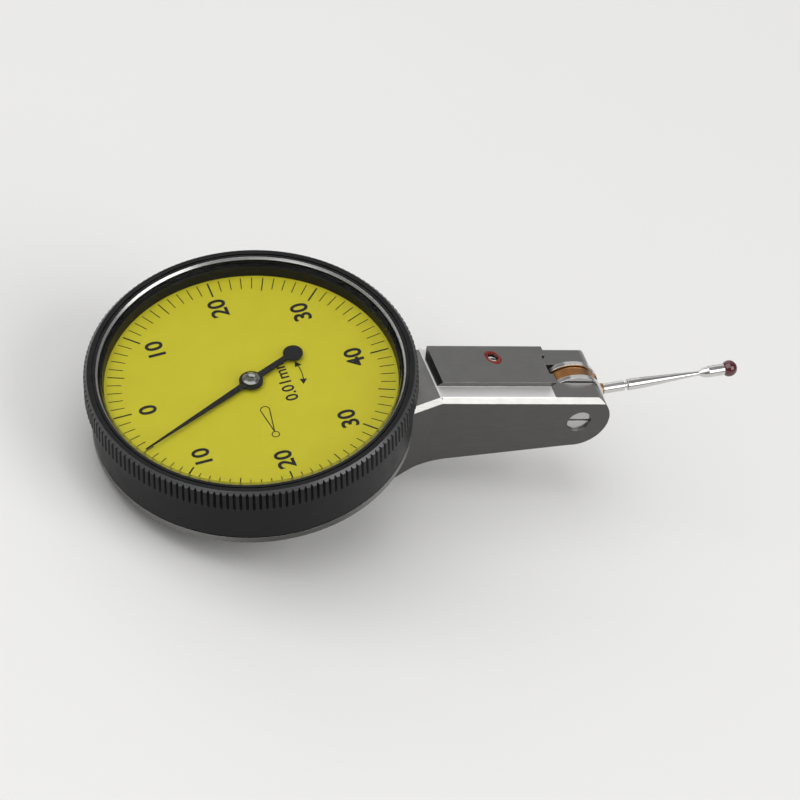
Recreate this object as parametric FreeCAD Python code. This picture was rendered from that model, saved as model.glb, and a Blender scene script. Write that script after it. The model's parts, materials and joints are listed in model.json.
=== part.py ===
import FreeCAD, Part
import math
import os

# Lever-type dial test indicator with a dial tilted against its body bar.
# Millimetres. +X points along the bar towards the stylus, +Z is up, and the origin is the
# centre of the flat face of the bottom dovetail, on which the instrument rests.
# The dial, the bezel and the pointer are drawn in the dial's own frame: x in the dial plane
# towards the stylus, z along the dial's normal, zero height at the dial plate's top face.

Vector = FreeCAD.Vector
Y_AXIS = Vector(0, 1, 0)
Z_AXIS = Vector(0, 0, 1)

# Places that set the layout
pivot_x = 38.0
pivot_z = 13.0
dial_tilt = 20.0
dial_centre_x = -4.56
dial_centre_z = 14.43

# Clearances
running_gap = 0.04
seat_gap = 0.02
snap_gap = 0.1
seal_side_gap = 0.05

# How far cutting shapes reach past what they cut, and joined ones into each other
overshoot = 1.0
joint_depth = 0.01

# Bezel
bezel_radius = 20.0
bezel_top = 2.6
bezel_edge = 0.4
knurl_count = 160
knurl_depth = 0.28
knurl_half_crest = 0.24
knurl_edge = 0.3
knurl_bottom = -0.6
knurl_step = 0.8
skirt_radius = bezel_radius - knurl_step
skirt_bottom = -5.8
skirt_wall = 0.76
rim_groove_inset = 1.05
rim_groove_radius = bezel_radius - rim_groove_inset
rim_groove_width = 0.22
rim_groove_depth = 0.25

# Crystal and dial plate
crystal_wall = 1.75
crystal_radius = bezel_radius - crystal_wall
crystal_thickness = 1.0
crystal_bevel = 0.3
crystal_lead_in = 0.25
window_ledge = 0.5
window_radius = crystal_radius - window_ledge
window_height = 1.41
window_draft = 0.15
window_bottom_radius = window_radius - window_draft
dial_wall = 1.7
dial_radius = bezel_radius - dial_wall
dial_thickness = 0.4
dial_hole_radius = 1.0
clamp_ring_width = 1.4
clamp_ring_inner_radius = dial_radius - clamp_ring_width
clamp_ring_thickness = 0.5

# Drum of the frame, which carries the bezel
drum_radius = skirt_radius - skirt_wall - running_gap
drum_top = -1.2
drum_edge = 0.3
flange_radius = skirt_radius
flange_top = -6.0
flange_thickness = 1.2
flange_edge = 0.4
snap_ring_height = -3.0
snap_ring_thickness = 0.5
snap_ring_depth = 0.55
snap_ring_inner_radius = drum_radius - snap_ring_depth
snap_ring_rise = 0.25
snap_ring_outer_radius = drum_radius + snap_ring_rise
snap_ring_split = 14.0
seal_height = -4.7
seal_wire_radius = 0.4

# Frame bar, block and fork
bar_half_width = 4.7
shoulder_z = 16.5
shoulder_chamfer = 0.6
bar_taper = 7.0
block_half_width = 7.4
block_rear_x = -15.0
block_front_x = 13.5
block_bottom_z = 1.6
block_slope_inset = 2.88
block_slope_sink = 0.3
block_rear_overhang = 3.0
block_rear_corner = 7.0
block_taper_corner = 8.0
block_belly_radius = 6.0
bar_throat_radius = 10.0
bar_root_x = 19.5
bar_root_z = 6.4
fork_radius = 3.9
fork_slot_width = 3.16
fork_slot_rear = 4.6

# Dovetails, 60 degree flanks
dovetail_face = 6.3
dovetail_angle = 60.0
dovetail_height = 1.5
top_dovetail_rear_x = 18.6
top_dovetail_past_slot = 0.5
bottom_dovetail_length = 25.0

# Gear train
turn_travel = 0.8
wheel_drop = 7.0
sector_pitch_radius = 7.2
sector_module = 0.15
sector_teeth = 11
tooth_addendum = 0.75
tooth_dedendum = 1.15
tooth_root_share = 0.29
tooth_tip_share = 0.11
crown_addendum = 0.6
crown_dedendum = 1.2
crown_tip_share = 0.13
pinion_teeth = 12
crown_pitch_radius = 3.6
crown_teeth = 60
centre_teeth = 12
sector_plate_low = -3.1
sector_plate_thickness = 0.6
crown_disc_low = -2.0
crown_disc_thickness = 0.6
crown_rim_width = 0.55
crown_spoke_width = 1.0
crown_window_share = 0.79
crown_pinion_below = 0.35
crown_pinion_above = 0.3
centre_pinion_below = 1.0
centre_pinion_above = 0.4
crown_hub_radius = 1.15
hub_corner = 0.15
sector_rim = 1.0
sector_hub_radius = 1.3
sector_hub_rise = 0.6
sector_web_half = 1.0
sector_web_half_far = 1.9
sector_window_start = 2.4
sector_tail_half = 0.95
sector_tail_overhang = 1.1
sector_collar_height = 0.3
sector_collar_rise = 0.4
pivot_radius = 0.3
arbor_radius = 0.5
jewel_radius = 0.9
jewel_thickness = 0.8
jewel_cup_share = 0.6
jewel_land_share = 0.7

# Wells in the frame
well_wall_low = -3.7
well_wall_high = 3.6
well_half_width = 5.15
well_floor = -5.9
well_front = 15.6
well_corner = 2.5
trench_gap = 0.625
trench_rear = -crown_pitch_radius - crown_rim_width / 2 - trench_gap
cock_seat_length = 2.1
well_rear = trench_rear - cock_seat_length
trench_floor_z = 3.3
trench_corner = 1.0
trench_mouth = 0.5
pocket_front = 14.1
pocket_floor_z = 6.2
pocket_roof_z = 12.0
channel_above = 1.9
channel_below = 2.6
screw_hole_depth = 1.9

# Bridges
bridge_ledge = 2.0
bridge_radius = bridge_ledge - well_rear
bridge_thickness = 1.0
side_screw_edge = 0.575
rear_screw_edge = 0.15
bridge_opening_near = 2.2
bridge_opening_far = 7.4
bridge_opening_half_near = 3.4
bridge_opening_half_far = 2.4
cock_offset = 0.7
cock_half_width = 1.0
cock_neck_half_width = 0.45
cock_eye_radius = 0.95
foot_jewel_radius = 0.6
foot_pivot_radius = 0.2
train_bridge_rear = -1.7
train_bridge_front = 10.0
train_bridge_web = 0.9
train_bridge_foot = 0.8
train_bridge_depth = 4.6
train_screw_rear = 0.0
train_screw_front = 8.4

# Lever, stylus hub and stylus
yoke_radius = 4.2
yoke_half_width = 1.45
yoke_pocket_gap = 0.25
yoke_root_start = 3.0
yoke_root_end = 8.5
yoke_root_half_height = 2.0
yoke_bridge_half_height = 2.9
stylus_hub_radius = 3.9
stylus_hub_half_width = 0.74
washer_thickness = 0.1
axle_radius = 1.2
trunnion_radius = 0.5
trunnion_length = 0.9
pivot_screw_radius = 1.5
pivot_screw_sink = 0.3
lever_half_width = 1.2
lever_half_height = 0.8
lever_overhang = 0.9
lever_slot_start = 10.0
lever_slot_end = 2.5
lever_slot_half_height = 0.35
lever_pin_radius = 0.4
boss_radius = 0.7
boss_length = 4.6
stem_thread_start = 2.0
stem_thread_radius = 0.38
neck_radius = 0.62
neck_length = 2.65
groove_radius = 0.4
groove_width = 0.3
groove_bevel = 0.1
taper_start = 9.5
taper_land = 1.7
waist_radius = 0.3
cup_radius = 0.7
cup_length = 2.6
cup_flare = 1.2
stylus_angle = 12.4
stylus_length = 20.9
ball_radius = 1.0

# Pointer
pointer_height = 0.45
pointer_thickness = 0.2
pointer_tip_gap = 1.1
pointer_length = window_bottom_radius - pointer_tip_gap
pointer_tail = 6.6
pointer_tail_radius = 1.2
pointer_tip_width = 0.12
pointer_waist_width = 0.84
pointer_tail_width = 0.72
pointer_boss_radius = 0.6
pointer_boss_height = 0.3
pointer_rest_angle = 203.0
pointer_disc_radius = 1.45
pointer_cap_radius = 1.05
pointer_cap_height = 0.45
pointer_cap_side = 0.3
pointer_cap_bevel = 0.3
hairspring_turns = 5.5
hairspring_inner_radius = 0.85
hairspring_outer_radius = 3.3
hairspring_height = 0.3
hairspring_strip = 0.07
hairspring_drop = 0.65
collet_radius = 0.8
collet_height = 0.6
collet_split = 0.16
stud_radius = 0.28
centre_arbor_radius = 0.4

# Screws
small_screw_radius = 0.5
small_head_radius = 0.85
small_head_height = 0.5
stop_screw_x = 26.8
stop_screw_y = 1.2
stop_screw_radius = 0.8
stop_point_radius = 0.4
stop_point_length = 1.1
stop_screw_sink = 0.25
screw_slot_width = 0.3
screw_slot_depth = 0.4


# Shared shapes

def turned(profile):
    """Solid of revolution about Z from (radius, height) points."""
    points = [Vector(radius, 0, height) for radius, height in profile]
    points.append(points[0])
    face = Part.Face(Part.makePolygon(points))
    return face.revolve(Vector(0, 0, 0), Z_AXIS, 360)


def bar_y(x, z, low_y, high_y, radius):
    """Round bar along Y."""
    return Part.makeCylinder(radius, high_y - low_y, Vector(x, low_y, z), Y_AXIS)


def bar_z(x, y, low_z, high_z, radius):
    """Round bar along Z."""
    return Part.makeCylinder(radius, high_z - low_z, Vector(x, y, low_z), Z_AXIS)


def block(low, high):
    """Box between two opposite corners."""
    size = [top - bottom for bottom, top in zip(low, high)]
    return Part.makeBox(size[0], size[1], size[2], Vector(*low))


def on_dial(shape):
    """Moves a shape from the dial's frame to the instrument's frame."""
    moved = shape.copy()
    moved.rotate(Vector(0, 0, 0), Y_AXIS, -dial_tilt)
    moved.translate(Vector(dial_centre_x, 0, dial_centre_z))
    return moved


def dial_point(x, z):
    """Point of the dial's frame, given in the instrument's frame as (x, z)."""
    tilt = math.radians(dial_tilt)
    place_x = dial_centre_x + x * math.cos(tilt) - z * math.sin(tilt)
    place_z = dial_centre_z + x * math.sin(tilt) + z * math.cos(tilt)
    return place_x, place_z


def corner_arc(before, corner, after, radius):
    """Start, middle and end of the arc that rounds one corner of an outline."""
    here = Vector(corner[0], corner[1], 0)
    back = (Vector(before[0], before[1], 0) - here).normalize()
    ahead = (Vector(after[0], after[1], 0) - here).normalize()
    half_angle = back.getAngle(ahead) / 2
    run = radius / math.tan(half_angle)
    middle_way = (back + ahead).normalize()
    centre = here + middle_way * (radius / math.sin(half_angle))
    return here + back * run, centre - middle_way * radius, here + ahead * run


def rounded_outline(corners):
    """Closed wire in the XY plane through (x, y, radius) corners."""
    arcs = []
    for index, corner in enumerate(corners):
        before = corners[index - 1]
        after = corners[(index + 1) % len(corners)]
        if corner[2] > 0:
            arcs.append(corner_arc(before, corner, after, corner[2]))
        else:
            point = Vector(corner[0], corner[1], 0)
            arcs.append((point, point, point))
    edges = []
    for index, arc in enumerate(arcs):
        last_end = arcs[index - 1][2]
        if last_end.distanceToPoint(arc[0]) > 1e-6:
            edges.append(Part.LineSegment(last_end, arc[0]).toShape())
        if corners[index][2] > 0:
            edges.append(Part.Arc(arc[0], arc[1], arc[2]).toShape())
    return Part.Wire(edges)


def plate_xy(corners, low_z, high_z):
    """Prism over an outline in X and Y."""
    prism = Part.Face(rounded_outline(corners)).extrude(Vector(0, 0, high_z - low_z))
    prism.translate(Vector(0, 0, low_z))
    return prism


def plate_xz(corners, low_y, high_y):
    """Prism over an outline in X and Z."""
    prism = Part.Face(rounded_outline(corners)).extrude(Vector(0, 0, low_y - high_y))
    prism.rotate(Vector(0, 0, 0), Vector(1, 0, 0), 90)
    prism.translate(Vector(0, low_y, 0))
    return prism


def along_y(shape, x, z, angle):
    """Turns a shape drawn about the Y axis by an angle towards +Z and moves it to (x, z)."""
    moved = shape.copy()
    moved.rotate(Vector(0, 0, 0), Y_AXIS, -angle)
    moved.translate(Vector(x, 0, z))
    return moved


def tooth_ring(teeth, pitch_radius, module, first_angle, count):
    """Points of trapezoid teeth, one after another, about the origin."""
    addendum = tooth_addendum * module
    dedendum = tooth_dedendum * module
    pitch_angle = 360.0 / teeth
    points = []
    for number in range(count):
        middle = first_angle + number * pitch_angle
        for radius, offset in (
            (pitch_radius - dedendum, -tooth_root_share),
            (pitch_radius + addendum, -tooth_tip_share),
            (pitch_radius + addendum, tooth_tip_share),
            (pitch_radius - dedendum, tooth_root_share),
        ):
            angle = math.radians(middle + offset * pitch_angle)
            points.append((radius * math.cos(angle), radius * math.sin(angle), 0))
    return points


def small_screw(x, y, seat_z, depth):
    """Cheese-head screw along Z with a slot, seated at a height."""
    shank = bar_z(x, y, seat_z - depth, seat_z, small_screw_radius)
    head = bar_z(x, y, seat_z, seat_z + small_head_height, small_head_radius)
    slot_depth = small_head_height / 2
    slot_width = small_head_radius / 4
    slot = block(
        (x - small_head_radius, y - slot_width / 2, seat_z + slot_depth),
        (x + small_head_radius, y + slot_width / 2, seat_z + small_head_height),
    )
    return shank.fuse(head).cut(slot)


def jewel(thickness, outer_radius, hole_radius):
    """Ring of ruby about Z with an oil cup on its upper side, from zero height up."""
    cup = hole_radius + jewel_cup_share * (outer_radius - hole_radius)
    return turned([
        (hole_radius, 0),
        (outer_radius - seat_gap, 0),
        (outer_radius - seat_gap, thickness),
        (cup, thickness),
        (hole_radius, jewel_land_share * thickness),
    ])


# Places worked out from the layout

wheel_x, wheel_z = dial_point(0, -wheel_drop)
centre_distance = math.hypot(pivot_x - wheel_x, pivot_z - wheel_z)
train_angle = math.degrees(math.atan2(pivot_z - wheel_z, pivot_x - wheel_x))
pinion_pitch_radius = sector_module * pinion_teeth / 2
sector_distance = centre_distance - sector_pitch_radius - pinion_pitch_radius
sector_wheel_teeth = round(2 * sector_pitch_radius / sector_module)
crown_module = 2 * crown_pitch_radius / crown_teeth
centre_pitch_radius = crown_module * centre_teeth / 2
gear_ratio = sector_wheel_teeth / pinion_teeth * crown_teeth / centre_teeth
pointer_ratio = 2 * math.pi * stylus_length / turn_travel
lever_ratio = pointer_ratio / gear_ratio
lever_arm = sector_distance * lever_ratio / (1 + lever_ratio)
sector_arm = sector_distance - lever_arm


def train_point(distance):
    """Point on the line of the train at a distance behind the lever's pivot, as (x, z)."""
    angle = math.radians(train_angle)
    return pivot_x - distance * math.cos(angle), pivot_z - distance * math.sin(angle)


sector_x, sector_z = train_point(sector_distance)


# Frame

def lug_end_x():
    """Where the lug in front of the bezel, level with the dial, reaches the shoulders."""
    shoulder_rise = (shoulder_z - dial_centre_z) * math.cos(math.radians(dial_tilt))
    return dial_centre_x + (shoulder_rise - flange_top) / math.sin(math.radians(dial_tilt))


def frame_side_outline():
    """Side view of the block and the bar below the shoulders."""
    flange_low = flange_top - flange_thickness
    inner_x, inner_z = dial_point(0, flange_top)
    rear_x, rear_z = dial_point(block_slope_inset - flange_radius, flange_low + block_slope_sink)
    return [
        (block_rear_x, block_bottom_z, 0),
        (block_front_x, block_bottom_z, block_belly_radius),
        (bar_root_x, bar_root_z, bar_throat_radius),
        (pivot_x, pivot_z - fork_radius, 0),
        (pivot_x, shoulder_z, 0),
        (lug_end_x(), shoulder_z, 0),
        (inner_x, inner_z, 0),
        (rear_x, rear_z, 0),
    ]


def frame_plan_outline():
    """Plan of the block and the bar: a straight bar, a taper and a rounded rear."""
    taper_run = (block_half_width - bar_half_width) / math.tan(math.radians(bar_taper))
    taper_rear_x = lug_end_x() - taper_run
    tip_x = pivot_x + 2 * fork_radius
    rear_x = block_rear_x - block_rear_overhang
    return [
        (tip_x, -bar_half_width, 0),
        (tip_x, bar_half_width, 0),
        (lug_end_x(), bar_half_width, 0),
        (taper_rear_x, block_half_width, block_taper_corner),
        (rear_x, block_half_width, block_rear_corner),
        (rear_x, -block_half_width, block_rear_corner),
        (taper_rear_x, -block_half_width, block_taper_corner),
        (lug_end_x(), -bar_half_width, 0),
    ]


def dovetail(low_x, high_x, root_z, face_z):
    """Dovetail rail along X between its root and its flat face."""
    undercut = abs(face_z - root_z) / math.tan(math.radians(dovetail_angle))
    half_face = dovetail_face / 2
    half_root = half_face - undercut
    points = [
        Vector(low_x, -half_root, root_z),
        Vector(low_x, -half_face, face_z),
        Vector(low_x, half_face, face_z),
        Vector(low_x, half_root, root_z),
        Vector(low_x, -half_root, root_z),
    ]
    return Part.Face(Part.makePolygon(points)).extrude(Vector(high_x - low_x, 0, 0))


def chamfer_wedge(start, end, up, outward):
    """Prism that takes a chamfer off the straight edge between two points."""
    size = shoulder_chamfer
    corner = start + (up + outward) * size
    points = [start - up * size, start - outward * size, corner, start - up * size]
    return Part.Face(Part.makePolygon(points)).extrude(end - start)


def shoulder_chamfers():
    """Chamfers along the shoulders of the bar and along the lug's long edges."""
    tilt = math.radians(dial_tilt)
    taper = math.radians(bar_taper)
    inner_x, inner_z = dial_point(0, flange_top)
    cuts = []
    for side in (-1, 1):
        corner = Vector(lug_end_x(), side * bar_half_width, shoulder_z)
        tip = Vector(pivot_x + 2 * fork_radius, side * bar_half_width, shoulder_z)
        reach = corner.x - inner_x
        inner = Vector(inner_x, side * (bar_half_width + reach * math.tan(taper)), inner_z)
        cuts.append(chamfer_wedge(corner, tip, Z_AXIS, Vector(0, side, 0)))
        lug_up = Vector(-math.sin(tilt), 0, math.cos(tilt))
        lug_out = Vector(math.sin(taper), side * math.cos(taper), 0)
        cuts.append(chamfer_wedge(inner, corner, lug_up, lug_out))
    return cuts


def frame_blank():
    """Drum, flange, block, bar and both dovetails before the wells are cut."""
    side = plate_xz(frame_side_outline(), -bezel_radius, bezel_radius)
    fork = bar_y(pivot_x, pivot_z, -bezel_radius, bezel_radius, fork_radius)
    above = block(
        (pivot_x - 2 * fork_radius, -bezel_radius - overshoot, shoulder_z),
        (pivot_x + 2 * fork_radius, bezel_radius + overshoot, shoulder_z + fork_radius),
    )
    plan = plate_xy(frame_plan_outline(), 0, shoulder_z + fork_radius)
    lower = side.fuse(fork).cut(above).common(plan).removeSplitter()
    lower = lower.cut(shoulder_chamfers())
    drum = on_dial(turned([
        (0, flange_top - flange_thickness),
        (flange_radius - flange_edge, flange_top - flange_thickness),
        (flange_radius, flange_top - flange_thickness + flange_edge),
        (flange_radius, flange_top),
        (drum_radius, flange_top),
        (drum_radius, drum_top - drum_edge),
        (drum_radius - drum_edge, drum_top),
        (0, drum_top),
    ]))
    rail_end_x = pivot_x - fork_slot_rear + top_dovetail_past_slot
    top_rail = dovetail(top_dovetail_rear_x, rail_end_x, shoulder_z - joint_depth,
                        shoulder_z + dovetail_height)
    bottom_rail = dovetail(-bottom_dovetail_length / 2, bottom_dovetail_length / 2,
                           block_bottom_z + joint_depth, 0)
    return lower.fuse([drum, top_rail, bottom_rail])


def frame_wells():
    """Everything that is cut out of the frame for the movement."""
    above = drum_top + overshoot
    recess = on_dial(bar_z(0, 0, drum_top - bridge_thickness, above, bridge_radius))
    well = on_dial(plate_xy([
        (well_front, -well_half_width, well_corner),
        (well_front, well_half_width, well_corner),
        (well_rear, well_half_width, well_corner),
        (well_rear, -well_half_width, well_corner),
    ], well_floor, above))
    rear_x, rear_z = dial_point(trench_rear, well_floor + trench_mouth)
    front_x, front_z = dial_point(well_front - trench_mouth, well_floor + trench_mouth)
    trench = plate_xz([
        (wheel_x + trench_rear, trench_floor_z, 2 * trench_corner),
        (wheel_x - trench_rear, trench_floor_z, trench_corner),
        (pocket_front, pocket_floor_z, trench_corner),
        (pocket_front, pocket_roof_z, trench_corner),
        (front_x, front_z, 0),
        (rear_x, rear_z, 0),
    ], well_wall_low, well_wall_high)
    return [recess, well, trench]


def lever_channel():
    """Slot for the lever along the bar, and the fork's slot for the hub."""
    half_slot = fork_slot_width / 2
    tail_end = lever_arm + lever_overhang + lever_pin_radius
    channel = block((-tail_end, -half_slot, -channel_below),
                    (-fork_slot_rear + overshoot, half_slot, channel_above))
    channel = along_y(channel, pivot_x, pivot_z, train_angle)
    slot = block(
        (pivot_x - fork_slot_rear, -half_slot, 0),
        (pivot_x + 2 * fork_radius, half_slot, shoulder_z + 2 * dovetail_height),
    )
    return [channel, slot]


def frame_holes():
    """Holes for the jewels, the pivot screws, the stop screw and the bridge screws."""
    tools = []
    hole = small_screw_radius + seat_gap
    wall = well_wall_low - jewel_thickness - seat_gap
    for x, z in ((wheel_x, wheel_z), (sector_x, sector_z)):
        tools.append(bar_y(x, z, wall, well_wall_low + seat_gap, jewel_radius))
    tools.append(bar_y(pivot_x, pivot_z, -2 * bar_half_width, 2 * bar_half_width,
                       pivot_screw_radius + seat_gap))
    tools.append(bar_z(stop_screw_x, stop_screw_y, pivot_z, shoulder_z + 2 * dovetail_height,
                       stop_screw_radius + seat_gap))
    floor_places = [(x, train_screw_y()) for x in train_screw_places()]
    floor_places.append((cock_screw_x(), cock_offset))
    places = [(x, y, well_floor) for x, y in floor_places]
    places += [(x, y, drum_top - bridge_thickness) for x, y in bridge_screw_places()]
    for x, y, seat in places:
        tools.append(on_dial(bar_z(x, y, seat - screw_hole_depth, seat + overshoot, hole)))
    return tools


def ring_grooves():
    """Grooves round the drum for the snap ring and the seal."""
    half = snap_ring_thickness / 2 + seat_gap
    snap_depth = snap_ring_inner_radius - seat_gap
    seal_depth = drum_radius - 2 * seal_wire_radius
    half_seal = seal_wire_radius + seal_side_gap
    grooves = []
    for middle, half_height, depth in (
        (snap_ring_height, half, snap_depth),
        (seal_height, half_seal, seal_depth),
    ):
        grooves.append(on_dial(turned([
            (depth, middle - half_height),
            (drum_radius + overshoot, middle - half_height),
            (drum_radius + overshoot, middle + half_height),
            (depth, middle + half_height),
        ])))
    return grooves


def frame_body():
    """The one-piece frame."""
    body = frame_blank()
    return body.cut(frame_wells() + lever_channel() + frame_holes() + ring_grooves())


# Bridges and jewels

def bridge_screw_places():
    """Screws of the centre bridge in the dial's frame."""
    reach = bridge_radius - small_head_radius
    side_y = reach - side_screw_edge
    return [(0.0, side_y), (0.0, -side_y), (rear_screw_edge - reach, 0.0)]


def cock_screw_x():
    """Screw of the lower cock along the dial's x."""
    return (well_rear + trench_rear) / 2


def train_screw_places():
    """Screws of the train bridge along the dial's x."""
    return [train_screw_rear, train_screw_front]


def train_screw_y():
    """Line of the train bridge's screws."""
    return well_half_width - small_head_radius - running_gap


def centre_bridge():
    """Round bridge that holds the pointer arbor's upper jewel."""
    low = drum_top - bridge_thickness
    plate = bar_z(0, 0, low, drum_top, bridge_radius - seat_gap)
    below = low - overshoot
    above = drum_top + overshoot
    head_seat = drum_top - small_head_height - seat_gap
    cuts = [bar_z(0, 0, below, above, jewel_radius)]
    for x, y in bridge_screw_places():
        cuts.append(bar_z(x, y, below, above, small_screw_radius + seat_gap))
        cuts.append(bar_z(x, y, head_seat, above, small_head_radius + seat_gap))
    corner = small_head_radius
    cuts.append(plate_xy([
        (bridge_opening_near, -bridge_opening_half_near, corner),
        (bridge_opening_far, -bridge_opening_half_far, corner),
        (bridge_opening_far, bridge_opening_half_far, corner),
        (bridge_opening_near, bridge_opening_half_near, corner),
    ], below, above))
    return on_dial(plate.cut(cuts))


def centre_bridge_screws():
    """Three screws of the centre bridge, heads sunk flush."""
    seat = drum_top - small_head_height
    depth = bridge_thickness - small_head_height + screw_hole_depth - seat_gap
    screws = [small_screw(x, y, seat, depth) for x, y in bridge_screw_places()]
    return on_dial(Part.makeCompound(screws))


def lower_cock():
    """Arm under the centre pinion that holds the pointer arbor's lower jewel."""
    high = well_floor + jewel_thickness
    rear = well_rear + running_gap
    corner = small_screw_radius
    middle = cock_offset / 2
    arm = plate_xy([
        (rear, cock_offset - cock_half_width, corner),
        (0.0, middle - cock_neck_half_width, 0),
        (0.0, middle + cock_neck_half_width, 0),
        (rear, cock_offset + cock_half_width, corner),
    ], well_floor, high)
    eye = bar_z(0, 0, well_floor, high, cock_eye_radius)
    hole = bar_z(0, 0, well_floor - overshoot, high + overshoot, foot_jewel_radius)
    screw_hole = bar_z(cock_screw_x(), cock_offset, well_floor - overshoot, high + overshoot,
                       small_screw_radius + seat_gap)
    return on_dial(arm.fuse(eye).cut([hole, screw_hole]).removeSplitter())


def lower_cock_screw():
    """Screw of the lower cock."""
    depth = jewel_thickness + screw_hole_depth - seat_gap
    seat = well_floor + jewel_thickness
    return on_dial(small_screw(cock_screw_x(), cock_offset, seat, depth))


def centre_jewels():
    """Upper and lower jewel of the pointer arbor."""
    upper = jewel(jewel_thickness, jewel_radius, pivot_radius + running_gap)
    upper.translate(Vector(0, 0, drum_top - bridge_thickness))
    lower = jewel(jewel_thickness, foot_jewel_radius, foot_pivot_radius + running_gap)
    lower.translate(Vector(0, 0, well_floor))
    return on_dial(Part.makeCompound([upper, lower]))


def train_bridge():
    """Angle bridge: a web down the trench wall and a foot on the well's floor."""
    web_low = well_wall_high - train_bridge_web
    high = well_floor + train_bridge_foot
    web = block((train_bridge_rear, web_low, well_floor - train_bridge_depth),
                (train_bridge_front, well_wall_high - seat_gap, high))
    foot = block((train_bridge_rear, web_low, well_floor),
                 (train_bridge_front, well_half_width - running_gap, high))
    bridge = on_dial(web.fuse(foot).removeSplitter())
    cuts = []
    for x, z in ((wheel_x, wheel_z), (sector_x, sector_z)):
        cuts.append(bar_y(x, z, web_low - overshoot, well_wall_high + overshoot, jewel_radius))
    for x in train_screw_places():
        cuts.append(on_dial(bar_z(x, train_screw_y(), well_floor - overshoot, high + overshoot,
                                  small_screw_radius + seat_gap)))
    return bridge.cut(cuts)


def train_bridge_screws():
    """Two screws in the train bridge's foot."""
    seat = well_floor + train_bridge_foot
    depth = train_bridge_foot + screw_hole_depth - seat_gap
    screws = [small_screw(x, train_screw_y(), seat, depth) for x in train_screw_places()]
    return on_dial(Part.makeCompound(screws))


def train_jewels():
    """Four jewels of the two arbors across the trench."""
    jewels = []
    for x, z in ((wheel_x, wheel_z), (sector_x, sector_z)):
        near = jewel(jewel_thickness, jewel_radius, pivot_radius + running_gap)
        near.rotate(Vector(0, 0, 0), Vector(1, 0, 0), 90)
        near.translate(Vector(x, well_wall_low, z))
        far = jewel(jewel_thickness, jewel_radius, pivot_radius + running_gap)
        far.rotate(Vector(0, 0, 0), Vector(1, 0, 0), -90)
        far.translate(Vector(x, well_wall_high - train_bridge_web, z))
        jewels += [near, far]
    return Part.makeCompound(jewels)


# Gear train

def arbor_across(x, z):
    """Arbor along Y with a pivot at each end."""
    shake = 2 * running_gap
    low = well_wall_low + shake
    high = well_wall_high - train_bridge_web - shake
    body = bar_y(x, z, low, high, arbor_radius)
    pivots = bar_y(x, z, low - jewel_thickness, high + jewel_thickness, pivot_radius)
    return body.fuse(pivots).removeSplitter()


def crown_arbor():
    """Arbor of the crown wheel with its pinion."""
    points = tooth_ring(pinion_teeth, pinion_pitch_radius, sector_module,
                        180.0 / pinion_teeth, pinion_teeth)
    low = sector_plate_low - crown_pinion_below
    high = sector_plate_low + sector_plate_thickness + crown_pinion_above
    pinion = along_y(plate_xz(points, low, high), wheel_x, wheel_z, train_angle)
    return arbor_across(wheel_x, wheel_z).fuse(pinion).removeSplitter()


def crown_wheel():
    """Contrate wheel: spoked disc, rim and teeth that stand out towards +Y."""
    tip_y = -centre_pitch_radius + crown_addendum * crown_module
    root_y = -centre_pitch_radius - crown_dedendum * crown_module
    spoke = crown_spoke_width / 2
    hub = crown_hub_radius
    ring = crown_pitch_radius - crown_rim_width - hub_corner
    far = crown_window_share * ring
    disc_high = crown_disc_low + crown_disc_thickness
    outer = crown_pitch_radius + crown_rim_width / 2
    inner = crown_pitch_radius - crown_rim_width / 2
    wheel = bar_y(0, 0, crown_disc_low, disc_high, outer)
    rim = bar_y(0, 0, disc_high, root_y, outer).cut(bar_y(0, 0, disc_high, root_y, inner))
    windows = []
    for number in range(4):
        opening = plate_xz([
            (hub, spoke, hub_corner),
            (ring, spoke, hub_corner),
            (far, far, 2 * hub_corner),
            (spoke, ring, hub_corner),
            (spoke, hub, hub_corner),
        ], crown_disc_low - overshoot, disc_high + overshoot)
        windows.append(along_y(opening, 0, 0, 90.0 * number))
    bore = bar_y(0, 0, crown_disc_low - overshoot, disc_high + overshoot, arbor_radius)
    wheel = wheel.cut(windows + [bore])
    pitch = 2 * math.pi * crown_pitch_radius / crown_teeth
    half_root = tooth_root_share * pitch
    half_tip = crown_tip_share * pitch
    low_x = inner + seat_gap
    high_x = outer - seat_gap
    low_y = root_y - running_gap
    profile = Part.makePolygon([
        Vector(low_x, low_y, -half_root),
        Vector(low_x, low_y, half_root),
        Vector(low_x, tip_y, half_tip),
        Vector(low_x, tip_y, -half_tip),
        Vector(low_x, low_y, -half_root),
    ])
    tooth = Part.Face(profile).extrude(Vector(high_x - low_x, 0, 0))
    teeth = [along_y(tooth, 0, 0, 360.0 * number / crown_teeth) for number in range(crown_teeth)]
    return along_y(wheel.fuse([rim] + teeth).removeSplitter(), wheel_x, wheel_z,
                   dial_tilt + 90.0)


def sector_arbor():
    """Arbor of the sector."""
    collar = bar_y(sector_x, sector_z, sector_plate_low - sector_collar_height,
                   sector_plate_low, arbor_radius + sector_collar_rise)
    return arbor_across(sector_x, sector_z).fuse(collar).removeSplitter()


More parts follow.
